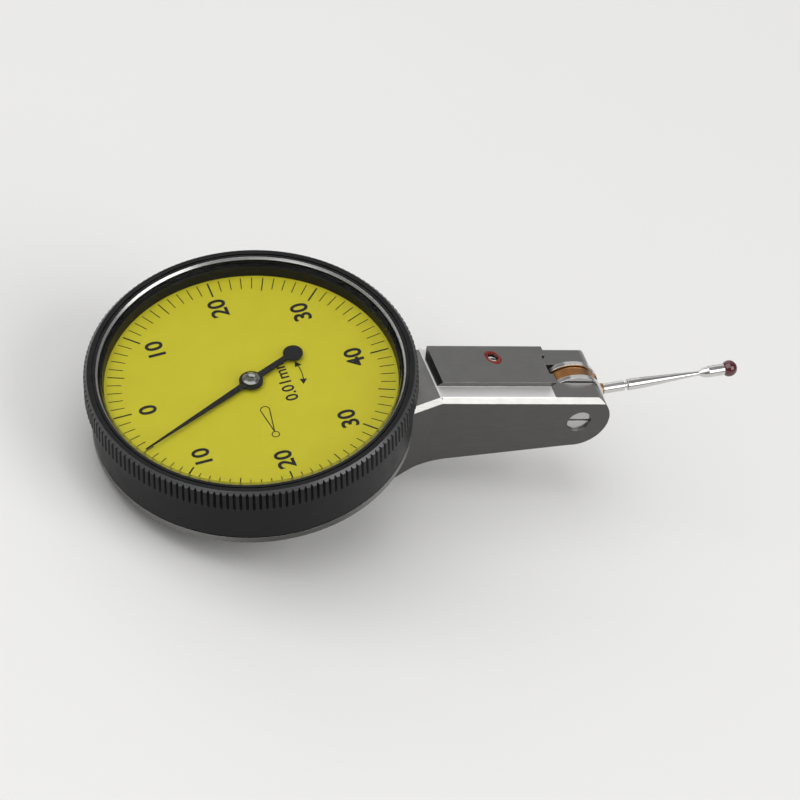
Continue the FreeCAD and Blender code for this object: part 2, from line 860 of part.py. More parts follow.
def sector_gear():
    """Toothed sector with its hub and a slotted tail for the lever's pin."""
    pitch_angle = 360.0 / sector_wheel_teeth
    first = 180.0 - pitch_angle * (sector_teeth - 1) / 2
    teeth = tooth_ring(sector_wheel_teeth, sector_pitch_radius, sector_module, first, sector_teeth)
    inner_radius = sector_pitch_radius - sector_rim
    half = math.radians(pitch_angle * (sector_teeth - 1) / 2)
    inner = [(-inner_radius * math.cos(half), inner_radius * math.sin(-half) * side, 0)
             for side in (1, -1)]
    low = sector_plate_low
    high = sector_plate_low + sector_plate_thickness
    rim = plate_xz(teeth + inner, low, high)
    web_end = -inner_radius - hub_corner
    web = plate_xz([
        (0.0, sector_web_half, 0),
        (web_end, sector_web_half_far, hub_corner),
        (web_end, -sector_web_half_far, hub_corner),
        (0.0, -sector_web_half, 0),
    ], low, high)
    window_end = -inner_radius + sector_rim / 2
    window_near = 0.7 * sector_web_half
    window_far = 0.6 * sector_web_half_far
    window = plate_xz([
        (-sector_window_start, window_near, 2 * hub_corner),
        (window_end, window_far, 2 * hub_corner),
        (window_end, -window_far, 2 * hub_corner),
        (-sector_window_start, -window_near, 2 * hub_corner),
    ], low - overshoot, high + overshoot)
    hub = bar_y(0, 0, low, high + sector_hub_rise, sector_hub_radius)
    tail_end = sector_arm + sector_tail_overhang
    tail = plate_xz([
        (0.0, sector_tail_half, 0),
        (0.0, -sector_tail_half, 0),
        (tail_end, -sector_tail_half, 2 * hub_corner),
        (tail_end, sector_tail_half, 2 * hub_corner),
    ], low, high)
    half_slot = lever_pin_radius + running_gap
    slot = block((sector_arm - 2 * lever_pin_radius, low - overshoot, -half_slot),
                 (tail_end + overshoot, high + overshoot, half_slot))
    bore = bar_y(0, 0, low - overshoot, high + sector_hub_rise + overshoot, arbor_radius)
    solid = rim.fuse([web, hub, tail]).cut([window, slot, bore])
    return along_y(solid.removeSplitter(), sector_x, sector_z, train_angle)


def pointer_arbor():
    """Vertical arbor with the centre pinion, its pivots and the pointer's seat."""
    cock_top = well_floor + jewel_thickness
    bridge_low = drum_top - bridge_thickness
    seat_height = pointer_height - pointer_boss_height
    shaft = turned([
        (0, well_floor + running_gap),
        (foot_pivot_radius, well_floor + running_gap),
        (foot_pivot_radius, cock_top + running_gap),
        (centre_arbor_radius, cock_top + centre_arbor_radius),
        (centre_arbor_radius, bridge_low - running_gap),
        (pivot_radius, bridge_low - running_gap),
        (pivot_radius, seat_height),
        (pivot_radius - running_gap, seat_height + 2 * pointer_boss_height),
        (0, seat_height + 2 * pointer_boss_height),
    ])
    points = tooth_ring(centre_teeth, centre_pitch_radius, crown_module,
                        270.0 + 180.0 / centre_teeth, centre_teeth)
    rim_height = crown_pitch_radius - wheel_drop
    pinion = plate_xy(points, rim_height - centre_pinion_below, rim_height + centre_pinion_above)
    return on_dial(shaft.fuse(pinion).removeSplitter())


# Hairspring

def hairspring_low():
    """Lower edge of the hairspring's strip."""
    return drum_top - bridge_thickness - hairspring_drop


def hairspring():
    """Flat spiral from the collet to the stud."""
    spread = hairspring_outer_radius - hairspring_inner_radius
    steps = round(12 * hairspring_turns)
    sides = []
    for offset in (-hairspring_strip / 2, hairspring_strip / 2):
        points = []
        for step in range(steps + 1):
            share = step / steps
            radius = hairspring_inner_radius + spread * share + offset
            angle = 2 * math.pi * hairspring_turns * share
            points.append(Vector(radius * math.cos(angle), radius * math.sin(angle), 0))
        curve = Part.BSplineCurve()
        curve.interpolate(points)
        sides.append(curve.toShape())
    caps = []
    for parameter in (0, -1):
        ends = [side.Vertexes[parameter].Point for side in sides]
        caps.append(Part.LineSegment(ends[0], ends[1]).toShape())
    outline = Part.Wire(Part.__sortEdges__(sides + caps))
    strip = Part.Face(outline).extrude(Vector(0, 0, hairspring_height))
    strip.translate(Vector(0, 0, hairspring_low()))
    return on_dial(strip)


def hairspring_collet():
    """Split collet that holds the spring's inner end on the arbor."""
    low = hairspring_low() - (collet_height - hairspring_height) / 2
    high = low + collet_height
    ring = bar_z(0, 0, low, high, collet_radius).cut(bar_z(0, 0, low, high, centre_arbor_radius))
    split = block((-2 * collet_radius, -collet_split / 2, low), (0, collet_split / 2, high))
    return on_dial(ring.cut(split))


def hairspring_stud():
    """Stud under the centre bridge that holds the spring's outer end."""
    x = hairspring_outer_radius
    low = hairspring_low() - running_gap
    half_slot = hairspring_strip / 2 + seat_gap / 2
    stud = bar_z(x, 0, low, drum_top - bridge_thickness, stud_radius)
    slot = block((x - half_slot, -2 * stud_radius, low),
                 (x + half_slot, 2 * stud_radius, low + hairspring_height + 2 * running_gap))
    stud = stud.cut(slot)
    stud.rotate(Vector(0, 0, 0), Z_AXIS, 360.0 * hairspring_turns)
    return on_dial(stud)


# Lever and stylus

def lever():
    """Yoke round the stylus hub with a tail whose pin drives the sector."""
    cheek_gap = stylus_hub_half_width + washer_thickness + seat_gap
    reach = 2 * yoke_radius
    yoke = bar_y(0, 0, -yoke_half_width, yoke_half_width, yoke_radius)
    root = plate_xz([
        (-yoke_root_start, yoke_root_half_height, 0),
        (-yoke_root_start, -yoke_root_half_height, 0),
        (-yoke_root_end, -lever_half_height, lever_half_height / 2),
        (-yoke_root_end, lever_half_height, lever_half_height / 2),
    ], -yoke_half_width, yoke_half_width)
    pocket_radius = stylus_hub_radius + yoke_pocket_gap
    pocket = bar_y(0, 0, -cheek_gap, cheek_gap, pocket_radius)
    mouth = block((0, -cheek_gap, -reach), (reach, cheek_gap, reach))
    below = block((-pocket_radius, -cheek_gap, -reach), (0, cheek_gap, -yoke_bridge_half_height))
    above = block((-pocket_radius, -cheek_gap, yoke_bridge_half_height), (0, cheek_gap, reach))
    tail_start = (yoke_root_start + yoke_root_end) / 2
    tail = plate_xz([
        (-tail_start, lever_half_height, 0),
        (-tail_start, -lever_half_height, 0),
        (-lever_arm - lever_overhang, -lever_half_height, 0.9 * lever_half_height),
        (-lever_arm - lever_overhang, lever_half_height, 0.9 * lever_half_height),
    ], -lever_half_width, lever_half_width)
    bore = bar_y(0, 0, -reach, reach, axle_radius)
    corner = 0.9 * lever_slot_half_height
    lightening = plate_xz([
        (-lever_slot_start, lever_slot_half_height, corner),
        (-lever_slot_start, -lever_slot_half_height, corner),
        (-lever_arm + lever_slot_end, -lever_slot_half_height, corner),
        (-lever_arm + lever_slot_end, lever_slot_half_height, corner),
    ], -reach, reach)
    pin = bar_y(-lever_arm, 0, sector_plate_low - 5 * running_gap, -lever_half_width / 2,
                lever_pin_radius)
    body = yoke.fuse([root, tail]).cut([pocket, mouth, below, above, bore, lightening])
    return along_y(body.fuse(pin).removeSplitter(), pivot_x, pivot_z, train_angle)


def lever_axle():
    """Axle through the yoke with a cup at each end for the pivot screws."""
    axle = bar_y(pivot_x, pivot_z, -yoke_half_width, yoke_half_width, axle_radius)
    cups = []
    for side in (-1, 1):
        depth = yoke_half_width - trunnion_length - 2 * running_gap
        low, high = sorted((side * depth, side * 2 * yoke_half_width))
        cups.append(bar_y(pivot_x, pivot_z, low, high, trunnion_radius + running_gap))
    return axle.cut(cups)


def pivot_screws():
    """Bearing screws in the fork's cheeks, each with a trunnion for the axle."""
    inner = fork_slot_width / 2 + running_gap
    outer = bar_half_width - pivot_screw_sink
    screws = []
    for side in (-1, 1):
        low, high = sorted((side * inner, side * outer))
        body = bar_y(pivot_x, pivot_z, low, high, pivot_screw_radius)
        low, high = sorted((side * (yoke_half_width - trunnion_length), side * inner))
        trunnion = bar_y(pivot_x, pivot_z, low, high, trunnion_radius)
        low, high = sorted((side * (outer - screw_slot_depth), side * outer))
        reach = 2 * pivot_screw_radius
        slot = block((pivot_x - reach, low, pivot_z - screw_slot_width / 2),
                     (pivot_x + reach, high, pivot_z + screw_slot_width / 2))
        screws.append(body.fuse(trunnion).cut(slot))
    return Part.makeCompound(screws)


def friction_washers():
    """Two thin brass washers between the hub and the yoke's cheeks."""
    washers = []
    for side in (-1, 1):
        near = stylus_hub_half_width + seat_gap / 2
        low, high = sorted((side * near, side * (near + washer_thickness)))
        disc = bar_y(pivot_x, pivot_z, low, high, stylus_hub_radius - yoke_pocket_gap)
        washers.append(disc.cut(bar_y(pivot_x, pivot_z, low, high, axle_radius)))
    return Part.makeCompound(washers)


def stylus_hub():
    """Hub that turns stiffly on the axle, with a threaded boss for the stylus."""
    disc = bar_y(0, 0, -stylus_hub_half_width, stylus_hub_half_width, stylus_hub_radius)
    boss = Part.makeCylinder(boss_radius, boss_length, Vector(0, 0, 0), Vector(1, 0, 0))
    bore = bar_y(0, 0, -stylus_hub_radius, stylus_hub_radius, axle_radius + running_gap)
    thread = Part.makeCylinder(stem_thread_radius + seat_gap, boss_length,
                               Vector(stem_thread_start - running_gap, 0, 0), Vector(1, 0, 0))
    return along_y(disc.fuse(boss).cut([bore, thread]).removeSplitter(), pivot_x, pivot_z,
                   stylus_angle)


def stylus_shank():
    """Screwed-in stem: neck, groove, long taper and the cup that holds the ball."""
    collar = boss_length + running_gap
    cup_end = stylus_length - cup_radius
    cup_start = cup_end - cup_length
    profile = [
        (0, stem_thread_start),
        (stem_thread_radius, stem_thread_start),
        (stem_thread_radius, collar),
        (neck_radius, collar),
        (neck_radius, collar + neck_length),
        (groove_radius, collar + neck_length + groove_bevel),
        (groove_radius, collar + neck_length + groove_bevel + groove_width),
        (cup_radius, taper_start - taper_land),
        (cup_radius - groove_bevel / 4, taper_start),
        (waist_radius, cup_start - cup_flare),
        (waist_radius, cup_start - cup_flare / 2),
        (cup_radius - groove_bevel, cup_start),
        (cup_radius, cup_start + cup_flare / 2),
        (cup_radius, cup_end),
        (0.0, cup_end),
    ]
    stem = turned(profile)
    seat = Part.makeSphere(ball_radius, Vector(0, 0, stylus_length))
    stem = stem.cut(seat)
    stem.rotate(Vector(0, 0, 0), Y_AXIS, 90)
    return along_y(stem, pivot_x, pivot_z, stylus_angle)


def ruby_ball():
    """Contact ball."""
    ball = Part.makeSphere(ball_radius, Vector(stylus_length, 0, 0))
    return along_y(ball, pivot_x, pivot_z, stylus_angle)


def stop_screw():
    """Slotted grub screw in the top dovetail, its point just above the lever."""
    lever_top = pivot_z - (pivot_x - stop_screw_x) * math.tan(math.radians(train_angle))
    lever_top += lever_half_height / math.cos(math.radians(train_angle))
    point_z = lever_top + 2 * running_gap
    body_z = point_z + stop_point_length
    head_z = shoulder_z + dovetail_height - stop_screw_sink
    body = bar_z(stop_screw_x, stop_screw_y, body_z, head_z, stop_screw_radius)
    point = bar_z(stop_screw_x, stop_screw_y, point_z, body_z, stop_point_radius)
    reach = 2 * stop_screw_radius
    half_slot = screw_slot_width / 2
    slot = block((stop_screw_x - reach, stop_screw_y - half_slot, head_z - screw_slot_depth),
                 (stop_screw_x + reach, stop_screw_y + half_slot, head_z))
    return body.fuse(point).cut(slot)


# Bezel group

def knurl_band():
    """Prism with one crest and one groove per knurl."""
    points = []
    for number in range(knurl_count):
        for radius, offset in (
            (bezel_radius, -knurl_half_crest),
            (bezel_radius, knurl_half_crest),
            (bezel_radius - knurl_depth, 0.5),
        ):
            angle = 2 * math.pi * (number + offset) / knurl_count
            points.append(Vector(radius * math.cos(angle), radius * math.sin(angle), 0))
    points.append(points[0])
    band = Part.Face(Part.makePolygon(points)).extrude(Vector(0, 0, bezel_top - knurl_bottom))
    band.translate(Vector(0, 0, knurl_bottom))
    return band


def bezel():
    """Knurled ring with its window, dial seat and skirt in one piece."""
    crystal_bore = crystal_radius + seat_gap
    dial_bore = dial_radius + seat_gap
    skirt_bore = drum_radius + running_gap
    snap_half = snap_ring_thickness / 2 + snap_gap
    snap_bore = snap_ring_outer_radius + snap_gap
    clamp_low = -dial_thickness - clamp_ring_thickness
    groove_low = bezel_top - rim_groove_depth
    groove_half = rim_groove_width / 2
    blank = turned([
        (skirt_radius, skirt_bottom),
        (skirt_radius, knurl_bottom),
        (bezel_radius - knurl_edge, knurl_bottom),
        (bezel_radius, knurl_bottom + knurl_edge),
        (bezel_radius, bezel_top - bezel_edge),
        (bezel_radius - bezel_edge, bezel_top),
        (rim_groove_radius + groove_half, bezel_top),
        (rim_groove_radius + groove_half, groove_low),
        (rim_groove_radius - groove_half, groove_low),
        (rim_groove_radius - groove_half, bezel_top),
        (crystal_bore + crystal_lead_in, bezel_top),
        (crystal_bore, bezel_top - crystal_lead_in),
        (crystal_bore, window_height),
        (window_radius, window_height),
        (window_bottom_radius, 0),
        (dial_bore, 0),
        (dial_bore, clamp_low - seat_gap),
        (skirt_bore, clamp_low - seat_gap),
        (skirt_bore, snap_ring_height + snap_half),
        (snap_bore, snap_ring_height + snap_half),
        (snap_bore, snap_ring_height - snap_half),
        (skirt_bore, snap_ring_height - snap_half),
        (skirt_bore, skirt_bottom),
    ])
    skirt = bar_z(0, 0, skirt_bottom, knurl_bottom, skirt_radius)
    return on_dial(blank.common(knurl_band().fuse(skirt)).removeSplitter())


def crystal():
    """Flat glass with a bevelled edge, dropped in from above."""
    top = window_height + crystal_thickness
    return on_dial(turned([
        (0, window_height),
        (crystal_radius, window_height),
        (crystal_radius, top - crystal_bevel),
        (crystal_radius - crystal_bevel, top),
        (0, top),
    ]))


def dial_plate():
    """Printed dial plate."""
    return on_dial(turned([
        (dial_hole_radius, -dial_thickness),
        (dial_radius, -dial_thickness),
        (dial_radius, 0),
        (dial_hole_radius, 0),
    ]))


def dial_clamp_ring():
    """Sprung ring that presses the dial plate against its seat."""
    low = -dial_thickness - clamp_ring_thickness
    ring = turned([
        (clamp_ring_inner_radius, low),
        (dial_radius, low),
        (dial_radius, -dial_thickness),
        (clamp_ring_inner_radius, -dial_thickness),
    ])
    return on_dial(ring)


def bezel_snap_ring():
    """Split ring that keeps the bezel on the drum."""
    low = snap_ring_height - snap_ring_thickness / 2
    high = snap_ring_height + snap_ring_thickness / 2
    ring = turned([
        (snap_ring_inner_radius, low),
        (snap_ring_outer_radius, low),
        (snap_ring_outer_radius, high),
        (snap_ring_inner_radius, high),
    ])
    half = snap_ring_outer_radius * math.sin(math.radians(snap_ring_split / 2))
    split = block((-snap_ring_outer_radius - overshoot, -half, low - overshoot),
                  (0, half, high + overshoot))
    return on_dial(ring.cut(split))


def bezel_seal():
    """Rubber ring that makes the bezel turn stiffly."""
    middle = drum_radius - seal_wire_radius + seat_gap
    return on_dial(Part.makeTorus(middle, seal_wire_radius, Vector(0, 0, seal_height), Z_AXIS))


# Pointer

def pointer():
    """Tapered blade with a disc at its middle and a round counterweight."""
    low = pointer_height
    high = pointer_height + pointer_thickness
    blade = plate_xy([
        (pointer_length, -pointer_tip_width / 2, 0),
        (pointer_length, pointer_tip_width / 2, 0),
        (0.0, pointer_waist_width / 2, 0),
        (-pointer_tail, pointer_tail_width / 2, 0),
        (-pointer_tail, -pointer_tail_width / 2, 0),
        (0.0, -pointer_waist_width / 2, 0),
    ], low, high)
    weight = bar_z(-pointer_tail, 0, low, high, pointer_tail_radius)
    disc = bar_z(0, 0, low, high, pointer_disc_radius)
    boss = bar_z(0, 0, low - pointer_boss_height, high, pointer_boss_radius)
    bore = bar_z(0, 0, low - overshoot, high + overshoot, pivot_radius)
    hand = blade.fuse([weight, disc, boss]).cut(bore).removeSplitter()
    hand.rotate(Vector(0, 0, 0), Z_AXIS, pointer_rest_angle)
    return on_dial(hand)


def pointer_cap():
    """Bright turned cap on the pointer's disc."""
    low = pointer_height + pointer_thickness
    cap = turned([
        (pivot_radius, low),
        (pointer_cap_radius, low),
        (pointer_cap_radius, low + pointer_cap_side),
        (pointer_cap_radius - pointer_cap_bevel, low + pointer_cap_height),
        (pivot_radius + pointer_cap_bevel, low + pointer_cap_height),
        (pivot_radius, low + pointer_cap_side),
    ])
    return on_dial(cap)


pieces = {
    "frame_body": frame_body,
    "centre_bridge": centre_bridge,
    "centre_bridge_screws": centre_bridge_screws,
    "lower_cock": lower_cock,
    "lower_cock_screw": lower_cock_screw,
    "centre_jewels": centre_jewels,
    "train_bridge": train_bridge,
    "train_bridge_screws": train_bridge_screws,
    "train_jewels": train_jewels,
    "crown_arbor": crown_arbor,
    "crown_wheel": crown_wheel,
    "sector_arbor": sector_arbor,
    "sector_gear": sector_gear,
    "pointer_arbor": pointer_arbor,
    "hairspring": hairspring,
    "hairspring_collet": hairspring_collet,
    "hairspring_stud": hairspring_stud,
    "lever": lever,
    "lever_axle": lever_axle,
    "pivot_screws": pivot_screws,
    "friction_washers": friction_washers,
    "stylus_hub": stylus_hub,
    "stylus_shank": stylus_shank,
    "ruby_ball": ruby_ball,
    "stop_screw": stop_screw,
    "bezel": bezel,
    "crystal": crystal,
    "dial_plate": dial_plate,
    "dial_clamp_ring": dial_clamp_ring,
    "bezel_snap_ring": bezel_snap_ring,
    "bezel_seal": bezel_seal,
    "pointer": pointer,
    "pointer_cap": pointer_cap,
}

os.makedirs("parts", exist_ok=True)
for name, make in pieces.items():
    make().exportStep("parts/" + name + ".step")
crown_ratio = lever_ratio * sector_wheel_teeth / pinion_teeth
print("ratios to the lever:", round(lever_ratio, 4), round(crown_ratio, 4), round(pointer_ratio, 4))
print("pivot", pivot_x, pivot_z, "wheel", wheel_x, wheel_z, "sector", sector_x, sector_z)
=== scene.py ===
"""Looks of a lever-type dial test indicator over its own solids.

Everything is in metres in the part's frame: +X towards the stylus, +Z up, and the origin in the
middle of the bottom dovetail's flat face. Sizes in the classes are in millimetres.
"""

import json
import logging
import math
from dataclasses import dataclass
from enum import Enum
from typing import Sequence

import bmesh
import bpy
from mathutils import Matrix, Vector


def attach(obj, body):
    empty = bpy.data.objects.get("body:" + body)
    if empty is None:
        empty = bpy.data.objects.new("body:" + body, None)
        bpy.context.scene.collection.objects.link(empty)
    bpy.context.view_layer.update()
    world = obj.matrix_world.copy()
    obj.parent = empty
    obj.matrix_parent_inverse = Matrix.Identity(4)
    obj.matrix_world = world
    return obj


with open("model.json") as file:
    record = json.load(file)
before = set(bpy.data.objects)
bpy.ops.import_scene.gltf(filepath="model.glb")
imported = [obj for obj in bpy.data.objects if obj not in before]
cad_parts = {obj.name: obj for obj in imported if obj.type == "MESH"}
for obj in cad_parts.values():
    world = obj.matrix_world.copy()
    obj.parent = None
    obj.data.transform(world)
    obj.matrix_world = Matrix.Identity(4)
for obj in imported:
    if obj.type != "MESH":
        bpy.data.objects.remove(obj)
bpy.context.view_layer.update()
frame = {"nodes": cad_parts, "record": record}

log = logging.getLogger("indicator")

MM = 0.001
FINISH = "_finish"
NOISE_RANGE = (0.3, 0.7)  # what noise mostly fills
EDGE_SAMPLES = 6
Triple = tuple[float, float, float]
Point = tuple[float, float]


class Slot(Enum):
    """Material slots of the part's record."""

    SATIN_CHROME = "satin_chrome"
    BLACK_BEZEL = "black_bezel"
    CRYSTAL = "crystal"
    DIAL_YELLOW = "dial_yellow"
    POINTER_BLACK = "pointer_black"
    POLISHED_STEEL = "polished_steel"
    BRASS = "brass"
    BRONZE = "bronze"
    JEWEL_RED = "jewel_red"
    SPRING_STEEL = "spring_steel"
    CARBIDE = "carbide"
    RUBBER = "rubber"
    SCREW_STEEL = "screw_steel"


class Tick(Enum):
    """Lines of the scale: inner radius and width in millimetres."""

    SINGLE = (15.5, 0.11)
    FIVE = (15.2, 0.14)
    TEN = (14.95, 0.2)


@dataclass(frozen=True)
class DialFrame:
    """The dial's own frame: x in its plane towards the stylus, z along its normal."""

    centre: Triple = (-4.56, 0.0, 14.43)
    tilt: float = 20.0

    def normal(self) -> Triple:
        """Returns the direction in which the dial faces."""
        turn = math.radians(self.tilt)
        return -math.sin(turn), 0.0, math.cos(turn)

    def matrix(self) -> Matrix:
        """Returns the matrix from the dial's frame, in metres, to the part's frame."""
        turn = Matrix.Rotation(math.radians(-self.tilt), 4, "Y")
        return Matrix.Translation(Vector(self.centre) * MM) @ turn


DIAL = DialFrame()


# Node trees


class Graph:
    """A node tree with short ways to add nodes and join them."""

    def __init__(self, tree: bpy.types.NodeTree) -> None:
        """Wraps a tree.

        Args:
            tree: the material's or the group's node tree.
        """
        self.tree = tree

    def node(self, kind: str, **settings: object) -> bpy.types.Node:
        """Adds a node.

        Args:
            kind: the node's type name.
            settings: its properties.

        Returns:
            The new node.
        """
        made = self.tree.nodes.new(kind)
        for name, value in settings.items():
            setattr(made, name, value)
        return made

    def feed(self, source: object, target: bpy.types.NodeSocket) -> None:
        """Joins a socket to an input, or sets the input to a number or colour.

        Args:
            source: an output socket, a number or a tuple.
            target: the input to feed.
        """
        if isinstance(source, bpy.types.NodeSocket):
            self.tree.links.new(source, target)
        else:
            target.default_value = source

    def math(self, operation: str, *values: object) -> bpy.types.NodeSocket:
        """Adds a Math node.

        Args:
            operation: the node's operation.
            values: its one, two or three values.

        Returns:
            The result's socket.
        """
        made = self.node("ShaderNodeMath", operation=operation)
        for value, target in zip(values, made.inputs):
            self.feed(value, target)
        return made.outputs[0]

    def vector(self, operation: str, first: object, second: object = (0.0, 0.0, 0.0)
               ) -> bpy.types.Node:
        """Adds a Vector Math node.

        Args:
            operation: the node's operation.
            first: its first vector.
            second: its second vector.

        Returns:
            The node, whose first output is a vector and whose Value is a number.
        """
        made = self.node("ShaderNodeVectorMath", operation=operation)
        self.feed(first, made.inputs[0])
        self.feed(second, made.inputs[1])
        return made

    def normal(self, kind: str = "Normal") -> bpy.types.NodeSocket:
        """Returns the surface's normal, or with "True Normal" its flat faces' normal."""
        return self.node("ShaderNodeNewGeometry").outputs[kind]

    def axes(self, vector: bpy.types.NodeSocket) -> list[bpy.types.NodeSocket]:
        """Splits a vector.

        Args:
            vector: its socket.

        Returns:
            The sockets of x, y and z.
        """
        made = self.node("ShaderNodeSeparateXYZ")
        self.feed(vector, made.inputs[0])
        return list(made.outputs)

    def from_z_axis(self, place: bpy.types.NodeSocket) -> bpy.types.NodeSocket:
        """Measures the distance from the z axis.

        Args:
            place: the coordinates.

        Returns:
            The distance's socket.
        """
        flat = self.vector("MULTIPLY", place, (1.0, 1.0, 0.0))
        return self.vector("LENGTH", flat.outputs[0]).outputs["Value"]

    def between(self, value: object, low: float, high: float,
                to_low: float = 0.0, to_high: float = 1.0) -> bpy.types.NodeSocket:
        """Maps a value from one range to another with clamped ends.

        Args:
            value: the value's socket.
            low: start of the range.
            high: end of the range.
            to_low: result at the start.
            to_high: result at the end.

        Returns:
            The result's socket.
        """
        made = self.node("ShaderNodeMapRange")
        for index, given in enumerate((value, low, high, to_low, to_high)):
            self.feed(given, made.inputs[index])
        return made.outputs[0]

    def blend(self, factor: object, low: Triple, high: Triple,
              way: str = "MIX") -> bpy.types.NodeSocket:
        """Mixes two colours.

        Args:
            factor: share of the second colour.
            low: first colour, or its socket.
            high: second colour, or its socket.
            way: the node's way of mixing.

        Returns:
            The colour's socket.
        """
        made = self.node("ShaderNodeMix", data_type="RGBA", blend_type=way)
        self.feed(factor, made.inputs[0])
        for source, target in ((low, made.inputs[6]), (high, made.inputs[7])):
            self.feed((*source, 1.0) if isinstance(source, tuple) else source, target)
        return made.outputs[2]

    def noise(self, place: bpy.types.NodeSocket, scale: object, detail: float = 3.0,
              roughness: float = 0.55) -> bpy.types.NodeSocket:
        """Adds three-dimensional noise.

        Args:
            place: where the noise is read.
            scale: cells per metre.
            detail: octaves.
            roughness: weight of the finer octaves.

        Returns:
            The value's socket.
        """
        made = self.node("ShaderNodeTexNoise")
        self.feed(place, made.inputs["Vector"])
        self.feed(scale, made.inputs["Scale"])
        made.inputs["Detail"].default_value = detail
        made.inputs["Roughness"].default_value = roughness
        return made.outputs[0]


class Effect(Graph):
    """A shader node group that several finishes use."""

    name: str = "effect"
    inputs: dict[str, float] = {}
    outputs: tuple[str, ...] = ("Mask",)

    def __init__(self) -> None:
        """Makes the group once, with its sockets and nodes."""
        super().__init__(bpy.data.node_groups.new(self.name, "ShaderNodeTree"))
        face = self.tree.interface
        face.new_socket("Vector", in_out="INPUT", socket_type="NodeSocketVector")
        for name, value in self.inputs.items():
            socket = face.new_socket(name, in_out="INPUT", socket_type="NodeSocketFloat")
            socket.default_value = value
        for name in self.outputs:
            face.new_socket(name, in_out="OUTPUT", socket_type="NodeSocketFloat")
        self.given = self.node("NodeGroupInput").outputs
        self.result = self.node("NodeGroupOutput").inputs
        self.build()

    def build(self) -> None:
        """Adds the group's nodes."""
        raise NotImplementedError

    def place(self, graph: Graph, vector: bpy.types.NodeSocket, **values: float) -> bpy.types.Node:
        """Puts the group into a material.

        Args:
            graph: the material's graph.
            vector: coordinates that the group reads.
            values: its inputs, with underscores for spaces.

        Returns:
            The group's node.
        """
        made = graph.node("ShaderNodeGroup", node_tree=self.tree)
        graph.feed(vector, made.inputs["Vector"])
        for name, value in values.items():
            made.inputs[name.replace("_", " ").title()].default_value = value
        return made


class EdgeWear(Effect):
    """Mask of sharp outer edges that handling has rubbed."""

    name = "edge_wear"
    inputs = {"Radius": 0.0001, "Patch Scale": 600.0, "Amount": 1.0}
    edge_range: Point = (0.995, 0.93)
    patch_range: Point = (0.3, 0.65)

    def build(self) -> None:
        """Compares a rounded normal with the true one, and breaks the line up."""
        bevel = self.node("ShaderNodeBevel", samples=EDGE_SAMPLES)
        self.feed(self.given["Radius"], bevel.inputs["Radius"])
        alike = self.vector("DOT_PRODUCT", bevel.outputs[0], self.normal())
        edge = self.between(alike.outputs["Value"], *self.edge_range)
        noise = self.noise(self.given["Vector"], self.given["Patch Scale"])
        worn = self.math("MULTIPLY", edge, self.between(noise, *self.patch_range))
        self.feed(self.math("MULTIPLY", worn, self.given["Amount"]), self.result["Mask"])


class Grain(Effect):
    """Fine grain of a ground, plated or printed surface."""

    name = "fine_grain"
    inputs = {"Scale": 8000.0, "Mottle Scale": 500.0}
    outputs = ("Grain", "Mottle")
    roughness: float = 0.6
    fine_range: Point = (0.25, 0.75)

    def build(self) -> None:
        """Reads fine and coarse noise."""
        fine = self.noise(self.given["Vector"], self.given["Scale"], 2.0, self.roughness)
        coarse = self.noise(self.given["Vector"], self.given["Mottle Scale"], 4.0, self.roughness)
        self.feed(self.between(fine, *self.fine_range), self.result["Grain"])
        self.feed(self.between(coarse, *NOISE_RANGE), self.result["Mottle"])


class TurnedMarks(Effect):
    """Concentric tool marks about the z axis of the coordinates given."""

    name = "turned_marks"
    inputs = {"Lines": 5000.0}
    outputs = ("Marks",)

    def build(self) -> None:
        """Reads noise by distance from the axis."""
        rings = self.node("ShaderNodeTexNoise", noise_dimensions="1D")
        self.feed(self.from_z_axis(self.given["Vector"]), rings.inputs["W"])
        self.feed(self.given["Lines"], rings.inputs["Scale"])
        rings.inputs["Detail"].default_value = 3.0
        self.feed(self.between(rings.outputs[0], *NOISE_RANGE), self.result["Marks"])


class StraightMarks(Effect):
    """Fine straight marks along x of a ground face."""

    name = "straight_marks"
    inputs = {"Lines": 9000.0}
    outputs = ("Marks",)
    squeeze: Triple = (0.03, 1.0, 1.0)

    def build(self) -> None:
        """Reads noise that is stretched along x."""
        long = self.vector("MULTIPLY", self.given["Vector"], self.squeeze)
        lines = self.noise(long.outputs[0], self.given["Lines"], 3.0, 0.6)
        self.feed(self.between(lines, *NOISE_RANGE), self.result["Marks"])


class Dust(Effect):
    """Sparse specks that settle on what faces up."""

    name = "settled_dust"
    inputs = {"Scale": 900.0, "Amount": 0.5}
    speck_range: Point = (0.1, 0.04)
    facing_range: Point = (0.3, 0.9)
    sparse_scale: float = 350.0
    sparse_range: Point = (0.5, 0.62)

    def build(self) -> None:
        """Scatters small dots where the normal points up."""
        cells = self.node("ShaderNodeTexVoronoi")
        self.feed(self.given["Vector"], cells.inputs["Vector"])
        self.feed(self.given["Scale"], cells.inputs["Scale"])
        speck = self.between(cells.outputs["Distance"], *self.speck_range)
        facing = self.between(self.axes(self.normal())[2], *self.facing_range)
        noise = self.noise(self.given["Vector"], self.sparse_scale)
        sparse = self.between(noise, *self.sparse_range)
        mask = self.math("MULTIPLY", self.math("MULTIPLY", speck, facing), sparse)
        self.feed(self.math("MULTIPLY", mask, self.given["Amount"]), self.result["Mask"])


class Effects:
    """The shared node groups, made once."""

    def __init__(self) -> None:
        """Makes every group."""
        self.edge_wear = EdgeWear()
        self.grain = Grain()
        self.turned_marks = TurnedMarks()
        self.straight_marks = StraightMarks()
        self.dust = Dust()


# Finishes


